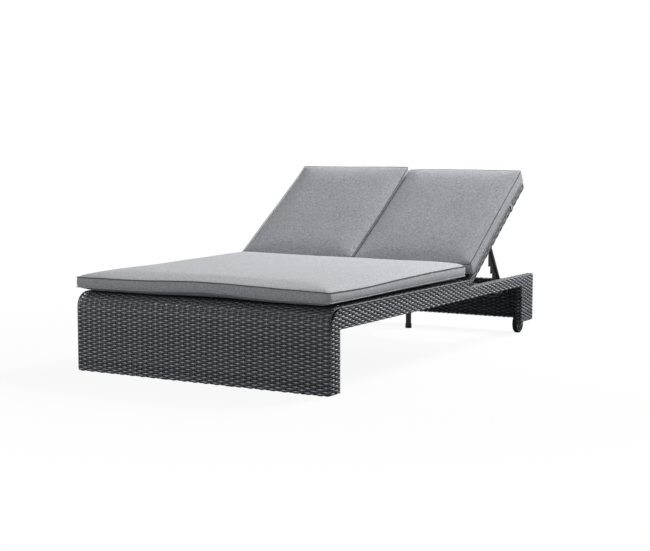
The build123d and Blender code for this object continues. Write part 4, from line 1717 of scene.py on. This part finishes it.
@dataclass
class Studio:
    """Pale floor, soft lamps and the camera."""

    camera_place: tuple[float, float, float] = (2.943, -5.131, 0.899)
    camera_turn: tuple[float, float, float] = (math.radians(90 - 5.41), 0.0, math.radians(29.96))
    lens: float = 72.0
    floor_size: float = 40.0
    floor_seen: str = "fafafa"
    floor_bounce: str = "9a9a9a"
    shade_from: float = 1.3
    shade_to: float = 2.6
    shade_least: float = 0.92
    sky: float = 0.2
    lamps: tuple[Lamp, ...] = (
        Lamp("key", (2.1, 4.0, 4.6), 455.0, 2.6),
        Lamp("fill", (-2.5, -4.5, 2.4), 36.0, 3.0),
        Lamp("front_card", (-3.0, -4.2, 1.9), 140.0, 3.2, card=True),
        Lamp("side_card", (3.8, 5.0, 3.6), 250.0, 2.4, card=True),
    )

    def floor(self) -> None:
        """Lay a round floor that keeps the shadow close to the object and is white further out."""
        bm = bmesh.new()
        bmesh.ops.create_circle(bm, cap_ends=True, segments=64, radius=self.floor_size)
        mesh = bpy.data.meshes.new("floor")
        bm.to_mesh(mesh)
        bm.free()
        floor = bpy.data.objects.new("floor", mesh)
        bpy.context.scene.collection.objects.link(floor)
        material, tree, out = blank("painted_floor")
        place = add_node(tree, "ShaderNodeTexCoord")
        length = add_node(tree, "ShaderNodeVectorMath", {"operation": "LENGTH"},
                          {0: place.outputs["Object"]})
        far = add_node(tree, "ShaderNodeMapRange", {"interpolation_type": "SMOOTHSTEP"},
                       {"Value": length.outputs["Value"], "From Min": self.shade_from,
                        "From Max": self.shade_to})
        path = add_node(tree, "ShaderNodeLightPath")
        mirrored = add_node(tree, "ShaderNodeMath", {"operation": "MAXIMUM"},
                            {0: path.outputs["Is Glossy Ray"], 1: path.outputs["Is Transmission Ray"]})
        mirrored = add_node(tree, "ShaderNodeMath", {"operation": "MULTIPLY"},
                            {0: mirrored.outputs[0], 1: far.outputs[0]})
        direct = add_node(tree, "ShaderNodeMapRange", None,
                          {"Value": far.outputs[0], "To Min": self.shade_least, "To Max": 1.0})
        direct = add_node(tree, "ShaderNodeMath", {"operation": "MULTIPLY"},
                          {0: direct.outputs[0], 1: path.outputs["Is Camera Ray"]})
        factor = add_node(tree, "ShaderNodeMath", {"operation": "MAXIMUM"},
                          {0: mirrored.outputs[0], 1: direct.outputs[0]})
        colour = add_node(tree, "ShaderNodeMix", {"data_type": "RGBA"},
                          {0: path.outputs["Is Camera Ray"], 6: linear(self.floor_bounce),
                           7: linear(self.floor_seen)})
        paint = add_node(tree, "ShaderNodeBsdfDiffuse", None, {"Color": colour.outputs[2]})
        white = add_node(tree, "ShaderNodeEmission", None, {"Strength": 1.0})
        mix = add_node(tree, "ShaderNodeMixShader", None,
                       {0: factor.outputs[0], 1: paint.outputs[0], 2: white.outputs[0]})
        tree.links.new(mix.outputs[0], out.inputs[0])
        mesh.materials.append(material)

    def world(self) -> None:
        """White to the camera and in reflections, dimmer as a light."""
        world = bpy.data.worlds.new("studio")
        bpy.context.scene.world = world
        world.use_nodes = True
        tree = world.node_tree
        tree.nodes.clear()
        out = tree.nodes.new("ShaderNodeOutputWorld")
        path = add_node(tree, "ShaderNodeLightPath")
        seen = add_node(tree, "ShaderNodeMath", {"operation": "MAXIMUM"},
                        {0: path.outputs["Is Camera Ray"], 1: path.outputs["Is Glossy Ray"]})
        seen = add_node(tree, "ShaderNodeMath", {"operation": "MAXIMUM"},
                        {0: seen.outputs[0], 1: path.outputs["Is Transmission Ray"]})
        strength = add_node(tree, "ShaderNodeMapRange", None,
                            {"Value": seen.outputs[0], "To Min": self.sky, "To Max": 1.0})
        light = add_node(tree, "ShaderNodeBackground", None,
                         {"Color": linear("ffffff"), "Strength": strength.outputs[0]})
        tree.links.new(light.outputs[0], out.inputs[0])

    def camera(self) -> None:
        """Set the camera at the photograph's place."""
        data = bpy.data.cameras.new("camera")
        data.lens = self.lens
        data.clip_end = 100.0
        camera = bpy.data.objects.new("camera", data)
        camera.location = self.camera_place
        camera.rotation_euler = Euler(self.camera_turn)
        bpy.context.scene.collection.objects.link(camera)
        bpy.context.scene.camera = camera

    def build(self) -> None:
        """Set up the whole studio."""
        bpy.context.scene.view_settings.view_transform = "Standard"
        self.camera()
        self.floor()
        self.world()
        for lamp in self.lamps:
            lamp.hang()


@dataclass(frozen=True)
class BackFit:
    """How one back cushion lies on its rails: it is soft, so each side lies a little differently."""

    proud: float
    over: float
    band: float
    bow: float = 0.0
    taper: float = 0.0
    flare: float = 0.0


BACK_FITS = {
    Side.RIGHT: BackFit(proud=4 * MM, over=0.0, band=54 * MM, bow=7 * MM),
    Side.LEFT: BackFit(proud=24 * MM, over=20 * MM, band=58 * MM, taper=12 * MM, flare=8 * MM),
}


def seat_cushion(cloth: bpy.types.Material, trim: bpy.types.Material) -> Cushion:
    """Lay out the wide seat cushion in the row frame's own axes.

    Args:
        cloth: Cloth of the cover.
        trim: Darker cloth of the upper piping, a painted shadow along the seam.

    Returns:
        The cushion, ready to build.
    """
    low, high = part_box("seat_cushion")
    slack = 9 * MM
    return UsedSeatCushion(
        "seat_cushion_cover", cloth, trim, "root", "seat_fabric", "seat_cushion", np.zeros(3),
        (X_AXIS, Y_AXIS, Z_AXIS), (low.x - slack, low.y), (high.x, high.y), low.z)


def back_cushion(back: Backrest, cloth: bpy.types.Material, trim: bpy.types.Material) -> Cushion:
    """Lay out one back cushion in its backrest's axes.

    Args:
        back: Backrest that carries it.
        cloth: Cloth of the cover.
        trim: Darker cloth of the upper piping, a painted shadow along the seam.

    Returns:
        The cushion, ready to build.
    """
    word, fit = back.side.word, BACK_FITS[back.side]
    start, rest, past_gap = 26 * MM, 0.3 * MM, 1.5 * MM
    return Cushion(
        word + "_back_cushion_cover", cloth, trim, back.body, "back_fabric", word + "_back_cushion",
        back.origin, (back.x, back.y, back.z), (back.half_gap - past_gap, start),
        (back.half_width + fit.proud, back.length + fit.over), back.board / 2 + rest,
        under=15 * MM, band=fit.band, cell=12 * MM, corner=7 * MM, bow=fit.bow, taper=fit.taper,
        flare=fit.flare, drawn=1 * MM, drawn_inner=0.5 * MM, crown=15 * MM, rise=(0.45, 9 * MM, 66 * MM))


def main() -> None:
    """Build every class in order."""
    strand = WovenStrand().material()
    hardware = Hardware(
        tube=PowderCoat("powder_coated_steel").material(),
        ratchet=PowderCoat("blackened_steel", "08090a", "101112", roughness=0.7, specular=0.15,
                           coat=0.0).material(),
        zinc=ZincPlate().material(),
        nylon=Moulded("moulded_nylon", "17181a", "222326", 0.5).material(),
        wheel=Moulded("moulded_polypropylene", "7b7f84", "8b8f94", 0.45).material(),
        rubber=Moulded("moulded_rubber", "131415", "1e1f20", 0.8).material(),
    )
    hardware.build()
    Base(strand).build()
    # The piping cloth is the cover cloth painted darker: a painted shadow line along the upper seams.
    trim = HeatherCloth("heather_olefin_piping", "54565b", "6a6c72", "828489").material()
    seat = HeatherCloth("heather_olefin_seat", "a6a9af", "c2c4c9", "dadce0").material()
    seat_cushion(seat, trim).build()
    webbing = HeatherCloth("polyester_webbing", "8b8e93", "a4a7ac", "c2c5ca").material()
    for side in Side:
        back = Backrest(side, strand)
        back.build()
        # The back cloth is the seat cloth painted darker: painted shade, so that the backs, which face
        # the key lamp more, do not come out brighter than the seat.
        cloth = HeatherCloth(f"heather_olefin_{side.word}_back", "858890", "b9bcc2", "d2d4d8",
                             turn=back.angle).material()
        back_cushion(back, cloth, trim).build()
        Strap(back, webbing).build()
    Studio().build()


if __name__ == "__main__":
    main()
